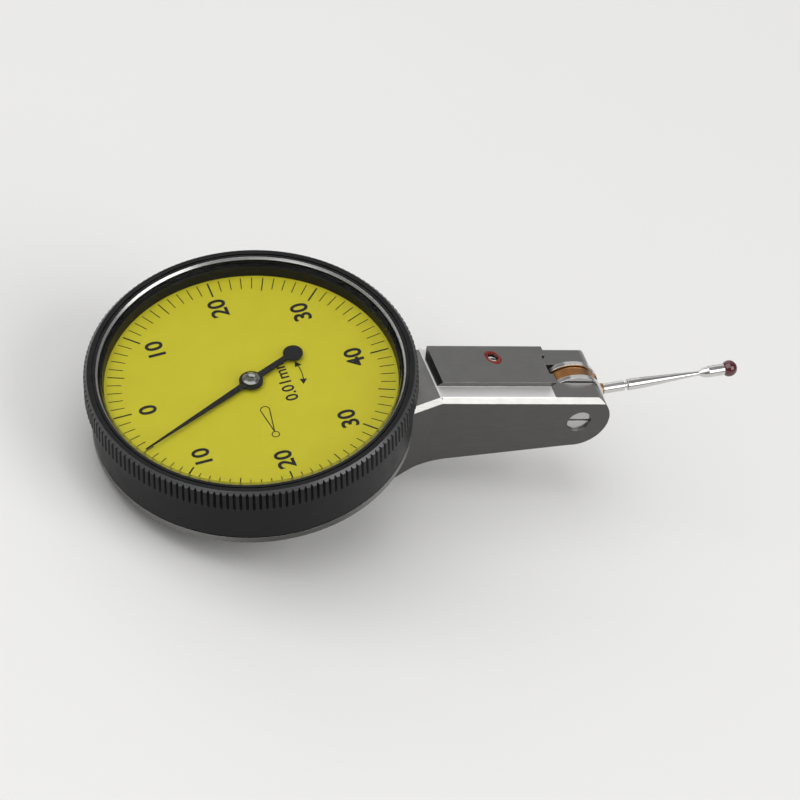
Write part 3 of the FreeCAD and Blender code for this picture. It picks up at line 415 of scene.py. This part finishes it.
class Shading(Graph):
    """A material with one Principled shader."""

    def __init__(self, name: str) -> None:
        """Makes the material.

        Args:
            name: the material's name.
        """
        self.material = bpy.data.materials.new(name + FINISH)
        self.material.use_nodes = True
        super().__init__(self.material.node_tree)
        self.tree.nodes.clear()
        self.output = self.node("ShaderNodeOutputMaterial")
        self.shader = self.node("ShaderNodeBsdfPrincipled")
        self.feed(self.shader.outputs[0], self.output.inputs[0])
        self.place = self.node("ShaderNodeTexCoord").outputs["Object"]

    def on_dial(self) -> bpy.types.NodeSocket:
        """Returns the coordinates turned into the dial's frame."""
        made = self.node("ShaderNodeMapping", vector_type="TEXTURE")
        self.feed(self.place, made.inputs["Vector"])
        made.inputs["Location"].default_value = [value * MM for value in DIAL.centre]
        made.inputs["Rotation"].default_value = (0.0, math.radians(-DIAL.tilt), 0.0)
        return made.outputs[0]

    def facing(self) -> bpy.types.NodeSocket:
        """Returns how far a face looks the way the dial does, from -1 to 1."""
        alike = self.vector("DOT_PRODUCT", self.normal("True Normal"), DIAL.normal())
        return alike.outputs["Value"]

    def set(self, **values: object) -> None:
        """Sets or feeds the shader's inputs.

        Args:
            values: inputs by name, with underscores for spaces.
        """
        for name, value in values.items():
            shown = name.replace("_", " ").title().replace("Ior", "IOR")
            if isinstance(value, tuple):
                value = (*value, 1.0)
            self.feed(value, self.shader.inputs[shown])

    def see_through(self, where: bpy.types.NodeSocket) -> None:
        """Makes the surface clear in places.

        Args:
            where: 1 where it is clear.
        """
        clear = self.node("ShaderNodeBsdfTransparent")
        mix = self.node("ShaderNodeMixShader")
        for source, target in zip((where, self.shader.outputs[0], clear.outputs[0]), mix.inputs):
            self.feed(source, target)
        self.feed(mix.outputs[0], self.output.inputs[0])

    def relief(self, height: object, depth: float, rounding: float) -> None:
        """Rounds the edges in the normal and adds a fine relief.

        Args:
            height: the relief's value.
            depth: its depth in millimetres.
            rounding: radius of the edges in millimetres.
        """
        bevel = self.node("ShaderNodeBevel", samples=EDGE_SAMPLES)
        bevel.inputs["Radius"].default_value = rounding * MM
        bump = self.node("ShaderNodeBump")
        bump.inputs["Strength"].default_value = 1.0
        bump.inputs["Distance"].default_value = depth * MM
        self.feed(height, bump.inputs["Height"])
        self.feed(bevel.outputs[0], bump.inputs["Normal"])
        self.feed(bump.outputs[0], self.shader.inputs["Normal"])


@dataclass(frozen=True)
class MetalFinish:
    """A metal surface with grain, rubbed edges and the marks of turning or grinding."""

    slot: Slot
    colour: Triple
    worn_colour: Triple
    roughness: float
    metallic: float = 1.0
    grain_size: float = 0.12
    grain_depth: float = 0.002
    mottle_size: float = 2.0
    mottle: float = 0.06
    unevenness: float = 0.14
    rounding: float = 0.08
    wear: float = 0.5
    wear_reach: float = 1.6
    wear_scale: float = 500.0
    turned: float = 0.0
    turned_lines: float = 9000.0
    ground: float = 0.0
    ground_lines: float = 6000.0
    streaks: float = 0.0
    dust: float = 0.0
    dust_scale: float = 700.0
    dust_colour: Triple = (0.4, 0.39, 0.36)
    specular: float = 0.5

    def build(self, effects: Effects) -> bpy.types.Material:
        """Makes the material.

        Args:
            effects: the shared node groups.

        Returns:
            The material.
        """
        shading = Shading(self.slot.value)
        grain = effects.grain.place(shading, shading.place, scale=1 / (self.grain_size * MM),
                                    mottle_scale=1 / (self.mottle_size * MM))
        edge = effects.edge_wear.place(shading, shading.place, patch_scale=self.wear_scale,
                                       radius=self.wear_reach * self.rounding * MM,
                                       amount=self.wear)
        mottle = grain.outputs["Mottle"]
        dark = tuple(value * (1 - 2 * self.mottle) for value in self.colour)
        colour = shading.blend(mottle, dark, self.colour)
        colour = shading.blend(edge.outputs["Mask"], colour, self.worn_colour)
        rough = shading.between(mottle, 0.0, 1.0, self.roughness * (1 - self.unevenness),
                                self.roughness * (1 + self.unevenness))
        height = grain.outputs["Grain"]
        if self.turned:
            rings = effects.turned_marks.place(shading, shading.on_dial(), lines=self.turned_lines)
            height = shading.math("MULTIPLY_ADD", rings.outputs["Marks"], self.turned, height)
        if self.ground:
            lines = effects.straight_marks.place(shading, shading.place, lines=self.ground_lines)
            height = shading.math("MULTIPLY_ADD", lines.outputs["Marks"], self.ground, height)
            streak = shading.between(lines.outputs["Marks"], 0.0, 1.0, 0.0, self.streaks)
            colour = shading.blend(streak, colour, dark)
        if self.dust:
            specks = effects.dust.place(shading, shading.place, scale=self.dust_scale,
                                        amount=self.dust)
            colour = shading.blend(specks.outputs["Mask"], colour, self.dust_colour)
        # polished places, and the painted highlights and shade of the frame and bezel finishes
        colour, rough, metallic = self.polished(shading, colour, rough)
        shading.set(base_color=colour, roughness=rough, metallic=metallic,
                    specular_ior_level=self.specular)
        shading.relief(height, self.grain_depth, self.rounding)
        return shading.material

    def polished(self, shading: Shading, colour: object, rough: object
                 ) -> tuple[object, object, object]:
        """Changes the surface where it is polished or carries painted highlights or shade; here
        nowhere.

        Args:
            shading: the material's graph; not used here.
            colour: the colour so far.
            rough: the roughness so far.

        Returns:
            The colour, the roughness and the metallic value.
        """
        return colour, rough, self.metallic


@dataclass(frozen=True)
class FrameFinish(MetalFinish):
    """Satin chrome of the frame, with polished chamfers, painted highlights on the shoulders and
    chamfers, and painted shade on the side flanks.
    """

    shoulder_height: float = 16.5
    shoulder_front: float = 33.9
    shoulder_band: float = 0.08
    chamfer_range: Point = (0.3, 0.42)
    flank_range: Point = (0.85, 0.98)
    # painted highlight on the shoulders: a light, less metallic copy of the chrome
    shoulder_highlight_metallic: float = 0.3
    shoulder_highlight_colour: Triple = (0.85, 0.84, 0.82)
    # painted highlight on the chamfers: their colour is multiplied brighter; their lower roughness
    # is real polish
    chamfer_highlight_tint: Triple = (1.65, 1.65, 1.62)
    bright_roughness: float = 0.14
    # painted shade on the side flanks
    flank_shade_tint: Triple = (0.5, 0.5, 0.5)

    def polished(self, shading: Shading, colour: object, rough: object
                 ) -> tuple[object, object, object]:
        """Polishes the chamfers by their slope, paints highlights on them and on the shoulders by
        their place, and paints shade on the side flanks.

        Args:
            shading: the material's graph.
            colour: the colour so far.
            rough: the roughness so far.

        Returns:
            The colour, the roughness and the metallic value.
        """
        x, _, z = shading.axes(shading.place)
        level = shading.math("COMPARE", z, self.shoulder_height * MM, self.shoulder_band * MM)
        behind = shading.math("LESS_THAN", x, self.shoulder_front * MM)
        shoulder = shading.math("MULTIPLY", level, behind)
        _, sideways, upward = shading.axes(shading.normal("True Normal"))
        side = shading.math("ABSOLUTE", sideways)
        chamfer = shading.between(shading.math("MULTIPLY", side, upward), *self.chamfer_range)
        flank = shading.between(side, *self.flank_range)
        # painted shade: the faces that look sideways are darkened
        colour = shading.blend(flank, colour, self.flank_shade_tint, "MULTIPLY")
        rough = shading.between(chamfer, 0.0, 1.0, rough, self.bright_roughness)
        # painted highlight: the shoulders turn less metallic so that the key light brightens them
        metallic = shading.between(shoulder, 0.0, 1.0, self.metallic, self.shoulder_highlight_metallic)
        # painted highlight: the chamfers' colour is brightened
        colour = shading.blend(chamfer, colour, self.chamfer_highlight_tint, "MULTIPLY")
        # painted highlight: the shoulders take the light colour
        return shading.blend(shoulder, colour, self.shoulder_highlight_colour), rough, metallic


@dataclass(frozen=True)
class BezelFinish(MetalFinish):
    """Satin black of the bezel, with painted highlights: thin bright rings on the chamfers near the
    crystal and a fainter painted sheen on its other chamfers.
    """

    edge_slope: float = 0.707
    edge_band: float = 0.12
    edge_reach: float = 19.05
    # painted highlight rings on the chamfers of the top rim
    ring_highlight_colour: Triple = (0.5, 0.5, 0.48)
    edge_roughness: float = 0.25
    ring_highlight_metallic: float = 0.9
    # painted sheen on the knurl's chamfers
    knurl_sheen_colour: Triple = (0.09, 0.09, 0.092)
    knurl_sheen_metallic: float = 0.5

    def polished(self, shading: Shading, colour: object, rough: object
                 ) -> tuple[object, object, object]:
        """Paints highlights on the chamfers that slope half way between the top and the sides:
        bright rings on the top rim and a fainter sheen on the knurl, where they are also less
        rough.

        Args:
            shading: the material's graph.
            colour: the colour so far.
            rough: the roughness so far.

        Returns:
            The colour, the roughness and the metallic value.
        """
        sloped = shading.math("COMPARE", shading.facing(), self.edge_slope, self.edge_band)
        radius = shading.from_z_axis(shading.on_dial())
        within = shading.math("LESS_THAN", radius, self.edge_reach * MM)
        edge = shading.math("MULTIPLY", sloped, within)
        rough = shading.between(sloped, 0.0, 1.0, rough, self.edge_roughness)
        # painted sheen: the sloped chamfers turn partly metallic
        metallic = shading.between(sloped, 0.0, 1.0, self.metallic, self.knurl_sheen_metallic)
        # painted highlight rings: the top rim's chamfers turn metallic
        metallic = shading.between(edge, 0.0, 1.0, metallic, self.ring_highlight_metallic)
        # painted sheen: the sloped chamfers take a lighter grey
        colour = shading.blend(sloped, colour, self.knurl_sheen_colour)
        # painted highlight rings: the top rim's chamfers take a silver colour
        return shading.blend(edge, colour, self.ring_highlight_colour), rough, metallic


@dataclass(frozen=True)
class PaintFinish:
    """Printed or painted surface: matte colour with a fine orange peel and faint mottling."""

    name: str
    colour: Triple
    shade: Triple
    roughness: float
    unevenness: float = 0.1
    mottle_scale: float = 300.0
    grain_size: float = 0.15
    grain_depth: float = 0.003
    rounding: float = 0.03
    specular: float = 0.25

    def build(self, effects: Effects) -> bpy.types.Material:
        """Makes the material.

        Args:
            effects: the shared node groups.

        Returns:
            The material.
        """
        shading = Shading(self.name)
        grain = effects.grain.place(shading, shading.place, scale=1 / (self.grain_size * MM),
                                    mottle_scale=self.mottle_scale)
        colour = shading.blend(grain.outputs["Mottle"], self.shade, self.colour)
        rough = shading.between(grain.outputs["Mottle"], 0.0, 1.0,
                                self.roughness * (1 - self.unevenness),
                                self.roughness * (1 + self.unevenness))
        shading.set(base_color=colour, roughness=rough, specular_ior_level=self.specular)
        shading.relief(grain.outputs["Grain"], self.grain_depth, self.rounding)
        return shading.material


@dataclass(frozen=True)
class GlassFinish:
    """Clear glass coated against glare, with a ground bevel, which lets the lights through."""

    slot: Slot = Slot.CRYSTAL
    colour: Triple = (0.97, 0.985, 0.98)
    roughness: float = 0.008
    mottle_scale: float = 120.0
    ior: float = 1.17
    ground_range: Point = (0.9, 0.99)
    ground_roughness: float = 0.3
    ground_colour: Triple = (0.3, 0.31, 0.3)

    def build(self, effects: Effects) -> bpy.types.Material:
        """Makes the material, whose shadow is clear.

        Args:
            effects: the shared node groups.

        Returns:
            The material.
        """
        shading = Shading(self.slot.value)
        grain = effects.grain.place(shading, shading.place, mottle_scale=self.mottle_scale)
        rough = shading.between(grain.outputs["Mottle"], 0.0, 1.0, 0.0, self.roughness)
        flat = shading.between(shading.facing(), *self.ground_range)
        rough = shading.between(flat, 0.0, 1.0, self.ground_roughness, rough)
        colour = shading.blend(flat, self.ground_colour, self.colour)
        shading.set(base_color=colour, roughness=rough, metallic=0.0,
                    transmission_weight=1.0, ior=self.ior)
        shading.see_through(shading.node("ShaderNodeLightPath").outputs["Is Shadow Ray"])
        return shading.material


@dataclass(frozen=True)
class RubyFinish:
    """Polished synthetic ruby."""

    slot: Slot = Slot.JEWEL_RED
    colour: Triple = (0.115, 0.001, 0.008)
    depth: float = 0.7
    mottle_scale: float = 700.0
    roughness: Point = (0.03, 0.06)
    transmission: float = 0.45
    ior: float = 1.76

    def build(self, effects: Effects) -> bpy.types.Material:
        """Makes the material.

        Args:
            effects: the shared node groups.

        Returns:
            The material.
        """
        shading = Shading(self.slot.value)
        grain = effects.grain.place(shading, shading.place, mottle_scale=self.mottle_scale)
        deep = tuple(value * self.depth for value in self.colour)
        colour = shading.blend(grain.outputs["Mottle"], deep, self.colour)
        rough = shading.between(grain.outputs["Mottle"], 0.0, 1.0, *self.roughness)
        shading.set(base_color=colour, roughness=rough, transmission_weight=self.transmission,
                    ior=self.ior)
        return shading.material


@dataclass(frozen=True)
class Finishes:
    """Every finish of the instrument, by slot and by name."""

    metals: tuple[MetalFinish, ...] = (
        FrameFinish(Slot.SATIN_CHROME, (0.24, 0.237, 0.23), (0.58, 0.57, 0.55), 0.36, wear=0.6,
                    mottle=0.08, ground=1.5, streaks=0.9),
        BezelFinish(Slot.BLACK_BEZEL, (0.006, 0.006, 0.0065), (0.12, 0.12, 0.12), 0.38,
                    metallic=0.0, wear=0.3, turned=2.0, rounding=0.06, dust=0.2, specular=0.2),
        MetalFinish(Slot.POLISHED_STEEL, (0.72, 0.71, 0.7), (0.85, 0.85, 0.84), 0.13, turned=1.0,
                    grain_depth=0.0006, mottle=0.03),
        MetalFinish(Slot.BRASS, (0.72, 0.5, 0.22), (0.85, 0.66, 0.36), 0.24, mottle=0.1),
        MetalFinish(Slot.BRONZE, (0.4, 0.19, 0.07), (0.66, 0.4, 0.2), 0.3, mottle=0.12),
        MetalFinish(Slot.SPRING_STEEL, (0.2, 0.22, 0.28), (0.5, 0.5, 0.52), 0.28),
        MetalFinish(Slot.CARBIDE, (0.66, 0.65, 0.63), (0.8, 0.8, 0.78), 0.16, grain_depth=0.0008,
                    rounding=0.04, mottle=0.04),
        MetalFinish(Slot.SCREW_STEEL, (0.5, 0.5, 0.49), (0.75, 0.74, 0.72), 0.25, wear=0.8),
        MetalFinish(Slot.RUBBER, (0.02, 0.02, 0.02), (0.05, 0.05, 0.05), 0.75, metallic=0.0),
    )
    paints: tuple[PaintFinish, ...] = (
        PaintFinish(Slot.DIAL_YELLOW.value, (0.6, 0.53, 0.022), (0.57, 0.5, 0.018), 0.5),
        PaintFinish(Slot.POINTER_BLACK.value, (0.014, 0.014, 0.014), (0.01, 0.01, 0.01), 0.42),
        PaintFinish("dial_ink", (0.016, 0.016, 0.015), (0.012, 0.012, 0.012), 0.6),
        PaintFinish("sealing_paint", (0.22, 0.02, 0.008), (0.13, 0.01, 0.005), 0.3,
                    grain_size=0.4, grain_depth=0.01),
    )

    def build(self) -> dict[str, bpy.types.Material]:
        """Returns every material by name."""
        effects = Effects()
        made = [*self.metals, *self.paints, GlassFinish(), RubyFinish()]
        materials = [finish.build(effects) for finish in made]
        log.info("finishes: %s", ", ".join(material.name for material in materials))
        return {material.name.removesuffix(FINISH): material for material in materials}


# Mesh work


class Sheet:
    """A mesh of thin prints in the dial's frame, in millimetres."""

    def __init__(self, low: float, high: float) -> None:
        """Starts an empty mesh.

        Args:
            low: underside of the print.
            high: top of the print.
        """
        self.mesh = bmesh.new()
        self.low = low
        self.high = high

    def patch(self, outline: Sequence[Point]) -> None:
        """Adds a thin prism over a convex outline.

        Args:
            outline: its corners, counterclockwise.
        """
        rows = [[self.mesh.verts.new((x, y, z)) for x, y in outline] for z in (self.low, self.high)]
        self.mesh.faces.new(rows[0][::-1])
        self.mesh.faces.new(rows[1])
        for index in range(len(outline)):
            after = (index + 1) % len(outline)
            self.mesh.faces.new((rows[0][index], rows[0][after], rows[1][after], rows[1][index]))

    def stroke(self, line: Sequence[Point], width: float, end_width: float | None = None) -> None:
        """Adds a line of one width, or one that tapers.

        Args:
            line: its points.
            width: its width at the start.
            end_width: its width at the end, if it tapers.
        """
        last = len(line) - 1
        for index in range(last):
            start, end = Vector(line[index]), Vector(line[index + 1])
            side = (end - start).orthogonal().normalized() / 2
            shares = (index / last, (index + 1) / last)
            spread = [width + ((end_width or width) - width) * share for share in shares]
            near, far = side * spread[0], side * spread[1]
            corners = (start - near, end - far, end + far, start + near)
            self.patch(self.counterclockwise([tuple(corner) for corner in corners]))

    @staticmethod
    def counterclockwise(outline: list[Point]) -> list[Point]:
        """Turns an outline round where it runs clockwise.

        Args:
            outline: its corners.

        Returns:
            The corners, counterclockwise.
        """
        area = sum(a[0] * b[1] - b[0] * a[1] for a, b in zip(outline, outline[1:] + outline[:1]))
        return outline if area > 0 else outline[::-1]

    def words(self, text: str, height: float, place: Point, weight: float = 0.022) -> None:
        """Adds lettering that reads along y with its top towards -x.

        Args:
            text: the characters.
            height: height of the numerals.
            place: middle of the lettering.
            weight: extra stroke as a share of the height.
        """
        curve = bpy.data.curves.new("lettering", "FONT")
        curve.body = text
        curve.offset = weight
        curve.resolution_u = 5
        holder = bpy.data.objects.new("lettering", curve)
        bpy.context.scene.collection.objects.link(holder)
        bpy.context.view_layer.update()
        flat = bpy.data.meshes.new_from_object(holder)
        bpy.data.objects.remove(holder)
        bpy.data.curves.remove(curve)
        corners = [vertex.co.copy() for vertex in flat.vertices]
        low = Vector((min(c.x for c in corners), min(c.y for c in corners), 0.0))
        high = Vector((max(c.x for c in corners), max(c.y for c in corners), 0.0))
        scale = height / (high.y - low.y)
        move = Matrix.Translation((*place, self.low)) @ Matrix.Rotation(math.pi / 2, 4, "Z")
        flat.transform(move @ Matrix.Scale(scale, 4) @ Matrix.Translation(-(low + high) / 2))
        known = set(self.mesh.faces)
        self.mesh.from_mesh(flat)
        bpy.data.meshes.remove(flat)
        face = [made for made in self.mesh.faces if made not in known]
        raised = bmesh.ops.extrude_face_region(self.mesh, geom=face)["geom"]
        rise = Vector((0, 0, self.high - self.low))
        bmesh.ops.translate(self.mesh, vec=rise,
                            verts=[item for item in raised if isinstance(item, bmesh.types.BMVert)])

    def piece(self, name: str, material: bpy.types.Material, body: str) -> bpy.types.Object:
        """Ends the mesh and puts it on its body.

        Args:
            name: the piece's name.
            material: its finish.
            body: the body that it rides on.

        Returns:
            The piece.
        """
        self.mesh.transform(DIAL.matrix() @ Matrix.Scale(MM, 4))
        return finish_piece(name, self.mesh, material, body)


def finish_piece(name: str, mesh: bmesh.types.BMesh, material: bpy.types.Material,
                 body: str, smooth: bool = False) -> bpy.types.Object:
    """Makes an object of a mesh in the part's frame.

    Args:
        name: the piece's name.
        mesh: its mesh, which is freed.
        material: its finish.
        body: the body that it rides on.
        smooth: whether its faces are shaded smooth.

    Returns:
        The piece.
    """
    data = bpy.data.meshes.new(name)
    bmesh.ops.recalc_face_normals(mesh, faces=mesh.faces[:])
    for face in mesh.faces:
        face.smooth = smooth
    mesh.to_mesh(data)
    mesh.free()
    data.materials.append(material)
    piece = bpy.data.objects.new(name, data)
    bpy.context.scene.collection.objects.link(piece)
    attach(piece, body)
    log.info("%s: %d faces on %s", name, len(data.polygons), body)
    return piece


def around(radius: float, degrees: float) -> Point:
    """Point on a circle about the dial's centre.

    Args:
        radius: the circle's radius.
        degrees: angle from the dial's x axis.

    Returns:
        The point's x and y.
    """
    angle = math.radians(degrees)
    return radius * math.cos(angle), radius * math.sin(angle)


# Sub-assemblies


@dataclass
class SolidsDress:
    """Gives each solid of the part its finish."""

    bright: tuple[str, ...] = ("lever", "stop_screw")

    def dress(self, materials: dict[str, bpy.types.Material]) -> None:
        """Puts the materials into the solids' slots.

        Args:
            materials: the finishes by slot.
        """
        for row in frame["record"]["subparts"]:
            name = row["material_slot"]
            if row["node"] in self.bright:
                name = Slot.POLISHED_STEEL.value
            for holder in frame["nodes"][row["node"]].material_slots:
                holder.material = materials[name]
            log.info("%s: %s", row["node"], name)


@dataclass
class DialPrint:
    """Everything printed on the dial plate."""

    outer_radius: float = 17.25
    divisions: int = 80
    numeral_radius: float = 12.95
    numeral_height: float = 2.2
    numerals: tuple[str, ...] = ("0", "10", "20", "30", "40", "30", "20", "10")
    zero_angle: float = 180.0
    print_low: float = -0.004
    print_high: float = 0.014
    unit_text: str = "0.01mm"
    unit_place: Point = (3.9, -0.8)
    unit_height: float = 1.55
    unit_weight: float = 0.014
    arrow_radius: float = 6.25
    arrow_half_width: float = 0.45
    arrow_angles: tuple[float, ...] = (-12.0, -8.0, -4.0, 0.0, 4.0, 8.0)
    arrow_head: float = 8.0
    thin_line: float = 0.12
    sign_x: float = 0.25
    sign_wide_end: Point = (-4.6, 0.55)
    sign_ball: Point = (-8.75, 0.45)
    sign_line: float = 0.13

    def sheet(self) -> Sheet:
        """Returns an empty print on the dial's face."""
        return Sheet(self.print_low, self.print_high)

    def scale_lines(self) -> Sheet:
        """Returns the scale's lines, zero opposite the stylus."""
        made = self.sheet()
        for number in range(self.divisions):
            kind = Tick.TEN if number % 10 == 0 else Tick.FIVE if number % 5 == 0 else Tick.SINGLE
            inner, width = kind.value
            angle = self.zero_angle - 360.0 * number / self.divisions
            made.stroke([around(inner, angle), around(self.outer_radius, angle)], width)
        return made

    def scale_numerals(self) -> Sheet:
        """Returns the numerals, all upright."""
        made = self.sheet()
        for number, text in enumerate(self.numerals):
            angle = self.zero_angle - 360.0 * number / len(self.numerals)
            made.words(text, self.numeral_height, around(self.numeral_radius, angle))
        return made

    def unit(self) -> Sheet:
        """Returns the value of one division."""
        made = self.sheet()
        made.words(self.unit_text, self.unit_height, self.unit_place, self.unit_weight)
        return made

    def turn_arrow(self) -> Sheet:
        """Returns the small double arrow that shows which ways the pointer turns."""
        made = self.sheet()
        made.stroke([around(self.arrow_radius, angle) for angle in self.arrow_angles],
                    self.thin_line)
        for heel_angle, way in ((self.arrow_angles[0], -1), (self.arrow_angles[-1], 1)):
            tip = around(self.arrow_radius, heel_angle + way * self.arrow_head)
            heel = [around(self.arrow_radius + side * self.arrow_half_width, heel_angle)
                    for side in (-1, 1)]
            made.patch(Sheet.counterclockwise([tip, *heel]))
        return made

    def stylus_sign(self) -> Sheet:
        """Returns the plain line drawing of a stylus."""
        made = self.sheet()
        top, half = self.sign_wide_end
        foot = sum(self.sign_ball)
        for side in (-1, 1):
            made.stroke([(self.sign_x + side * half, top), (self.sign_x, foot)], self.sign_line)
        for (middle, radius), steps in ((self.sign_wide_end, 8), (self.sign_ball, 16)):
            turns = [math.pi * step / 8 for step in range(steps + 1)]
            made.stroke([(self.sign_x + radius * math.cos(turn), middle + radius * math.sin(turn))
                         for turn in turns], self.thin_line)
        return made

    def build(self, ink: bpy.types.Material) -> None:
        """Makes the prints, which turn with the bezel.

        Args:
            ink: their finish.
        """
        prints = {
            "dial_scale_lines": self.scale_lines(),
            "dial_numerals": self.scale_numerals(),
            "dial_unit": self.unit(),
            "dial_turn_arrow": self.turn_arrow(),
            "dial_stylus_sign": self.stylus_sign(),
        }
        for name, made in prints.items():
            made.piece(name, ink, "bezel_ring")


@dataclass
class ScrewSeal:
    """Red paint that seals the stop screw in the top dovetail."""

    place: Triple = (26.8, 1.2, 18.0)
    inner_radius: float = 0.62
    outer_radius: float = 1.1
    rise: float = 0.1
    sink: float = 0.02
    flatness: float = 0.6
    sways: tuple[Triple, ...] = ((0.09, 2.0, 3.6), (0.03, 5.0, 2.1))
    sway_rise: float = 3.0
    steps: int = 56
    rows: int = 7

    def ring(self) -> bmesh.types.BMesh:
        """Returns an uneven raised ring of paint."""
        made = bmesh.new()
        loops = []
        for step in range(self.steps):
            angle = 2 * math.pi * step / self.steps
            sway = sum(size * math.sin(waves * angle + start) for size, waves, start in self.sways)
            loop = []
            for row in range(self.rows):
                share = row / (self.rows - 1)
                outer = self.outer_radius + sway
                radius = self.inner_radius + (outer - self.inner_radius) * share
                arch = math.sin(math.pi * share) ** self.flatness
                height = self.rise * (1 + sway * self.sway_rise) * arch - self.sink
                loop.append(made.verts.new((radius * math.cos(angle), radius * math.sin(angle),
                                            height)))
            loops.append(loop)
        for step, loop in enumerate(loops):
            after = loops[(step + 1) % self.steps]
            for row in range(self.rows - 1):
                made.faces.new((loop[row], loop[row + 1], after[row + 1], after[row]))
            made.faces.new((loop[-1], loop[0], after[0], after[-1]))
        made.transform(Matrix.Translation(Vector(self.place) * MM) @ Matrix.Scale(MM, 4))
        return made

    def build(self, paint: bpy.types.Material) -> None:
        """Makes the seal.

        Args:
            paint: its finish.
        """
        finish_piece("stop_screw_seal", self.ring(), paint, "frame", smooth=True)


@dataclass
class SoftBox:
    """A soft square light, set by its direction from the instrument."""

    name: str
    direction: Triple
    distance: float
    size: float
    power: float

    def build(self, aim: Vector) -> None:
        """Makes the light.

        Args:
            aim: the point that it faces.
        """
        data = bpy.data.lights.new(self.name, "AREA")
        data.shape = "SQUARE"
        data.size = self.size
        data.energy = self.power
        light = bpy.data.objects.new(self.name, data)
        away = Vector(self.direction).normalized()
        light.location = aim + away * self.distance
        light.rotation_mode = "QUATERNION"
        light.rotation_quaternion = away.to_track_quat("Z", "Y")
        light.visible_camera = False
        bpy.context.scene.collection.objects.link(light)


@dataclass
class Stage:
    """Floor, lights and camera."""

    floor_size: float = 6.0
    floor_parts: int = 8
    floor_gap: float = 0.05
    floor_colour: Triple = (0.78, 0.775, 0.76)
    floor_shade: float = 0.985
    floor_mottle_scale: float = 40.0
    floor_roughness: float = 0.85
    sky: Triple = (0.86, 0.87, 0.89)
    sky_strength: float = 0.28
    view: str = "Standard"
    boxes: tuple[SoftBox, ...] = (
        SoftBox("key", (0.438, -0.624, 0.647), 0.7, 0.55, 2.3),
        SoftBox("top", (-0.6, 0.0, 1.0), 0.8, 1.1, 6.2),
        SoftBox("back", (0.438, 0.647, 0.624), 0.8, 0.6, 0.45),
        SoftBox("rim", (-0.1, 1.0, 0.3), 0.7, 0.6, 0.9),
    )
    aim: Triple = (16.0, 0.0, 12.0)
    towards_camera: Triple = (-0.438, -0.647, 0.624)
    across: Triple = (0.899, -0.292, 0.327)
    roll: float = 1.7
    distance: float = 1.8
    shown_width: float = 0.096
    sensor_width: float = 36.0
    clip: Point = (0.05, 20.0)

    def floor(self) -> None:
        """Makes the plain pale floor, which a look from below passes through."""
        shading = Shading("floor")
        mottle = shading.noise(shading.place, self.floor_mottle_scale)
        shade = tuple(value * self.floor_shade for value in self.floor_colour)
        shading.set(base_color=shading.blend(mottle, shade, self.floor_colour),
                    roughness=self.floor_roughness)
        shading.see_through(shading.node("ShaderNodeNewGeometry").outputs["Backfacing"])
        mesh = bmesh.new()
        bmesh.ops.create_grid(mesh, x_segments=self.floor_parts, y_segments=self.floor_parts,
                              size=self.floor_size / 2,
                              matrix=Matrix.Translation((0.0, 0.0, -self.floor_gap * MM)))
        data = bpy.data.meshes.new("floor")
        mesh.to_mesh(data)
        mesh.free()
        data.materials.append(shading.material)
        floor = bpy.data.objects.new("floor", data)
        bpy.context.scene.collection.objects.link(floor)

    def sky_light(self) -> None:
        """Makes the even light of the room."""
        world = bpy.data.worlds.new("room")
        world.use_nodes = True
        background = world.node_tree.nodes["Background"]
        background.inputs["Color"].default_value = (*self.sky, 1.0)
        background.inputs["Strength"].default_value = self.sky_strength
        bpy.context.scene.world = world
        bpy.context.scene.view_settings.view_transform = self.view

    def camera(self) -> None:
        """Sets the camera in the photograph's direction, far away with a long lens."""
        data = bpy.data.cameras.new("camera")
        data.sensor_width = self.sensor_width
        data.lens = self.sensor_width * self.distance / self.shown_width
        data.clip_start, data.clip_end = self.clip
        back = Vector(self.towards_camera).normalized()
        flat_right = Vector(self.across)
        flat_right = (flat_right - back * flat_right.dot(back)).normalized()
        flat_up = back.cross(flat_right)
        turn = math.radians(self.roll)
        right = flat_right * math.cos(turn) - flat_up * math.sin(turn)
        up = flat_up * math.cos(turn) + flat_right * math.sin(turn)
        camera = bpy.data.objects.new("camera", data)
        place = Vector(self.aim) * MM + back * self.distance
        turned = Matrix((right, up, back)).transposed().to_4x4()
        camera.matrix_world = Matrix.Translation(place) @ turned
        bpy.context.scene.collection.objects.link(camera)
        bpy.context.scene.camera = camera

    def build(self) -> None:
        """Sets everything round the instrument."""
        self.floor()
        self.sky_light()
        for box in self.boxes:
            box.build(Vector(self.aim) * MM)
        self.camera()


def main() -> None:
    """Builds the looks in order."""
    logging.basicConfig(level=logging.INFO, format="%(name)s %(message)s")
    materials = Finishes().build()
    SolidsDress().dress(materials)
    DialPrint().build(materials["dial_ink"])
    ScrewSeal().build(materials["sealing_paint"])
    Stage().build()


if __name__ == "__main__":
    main()
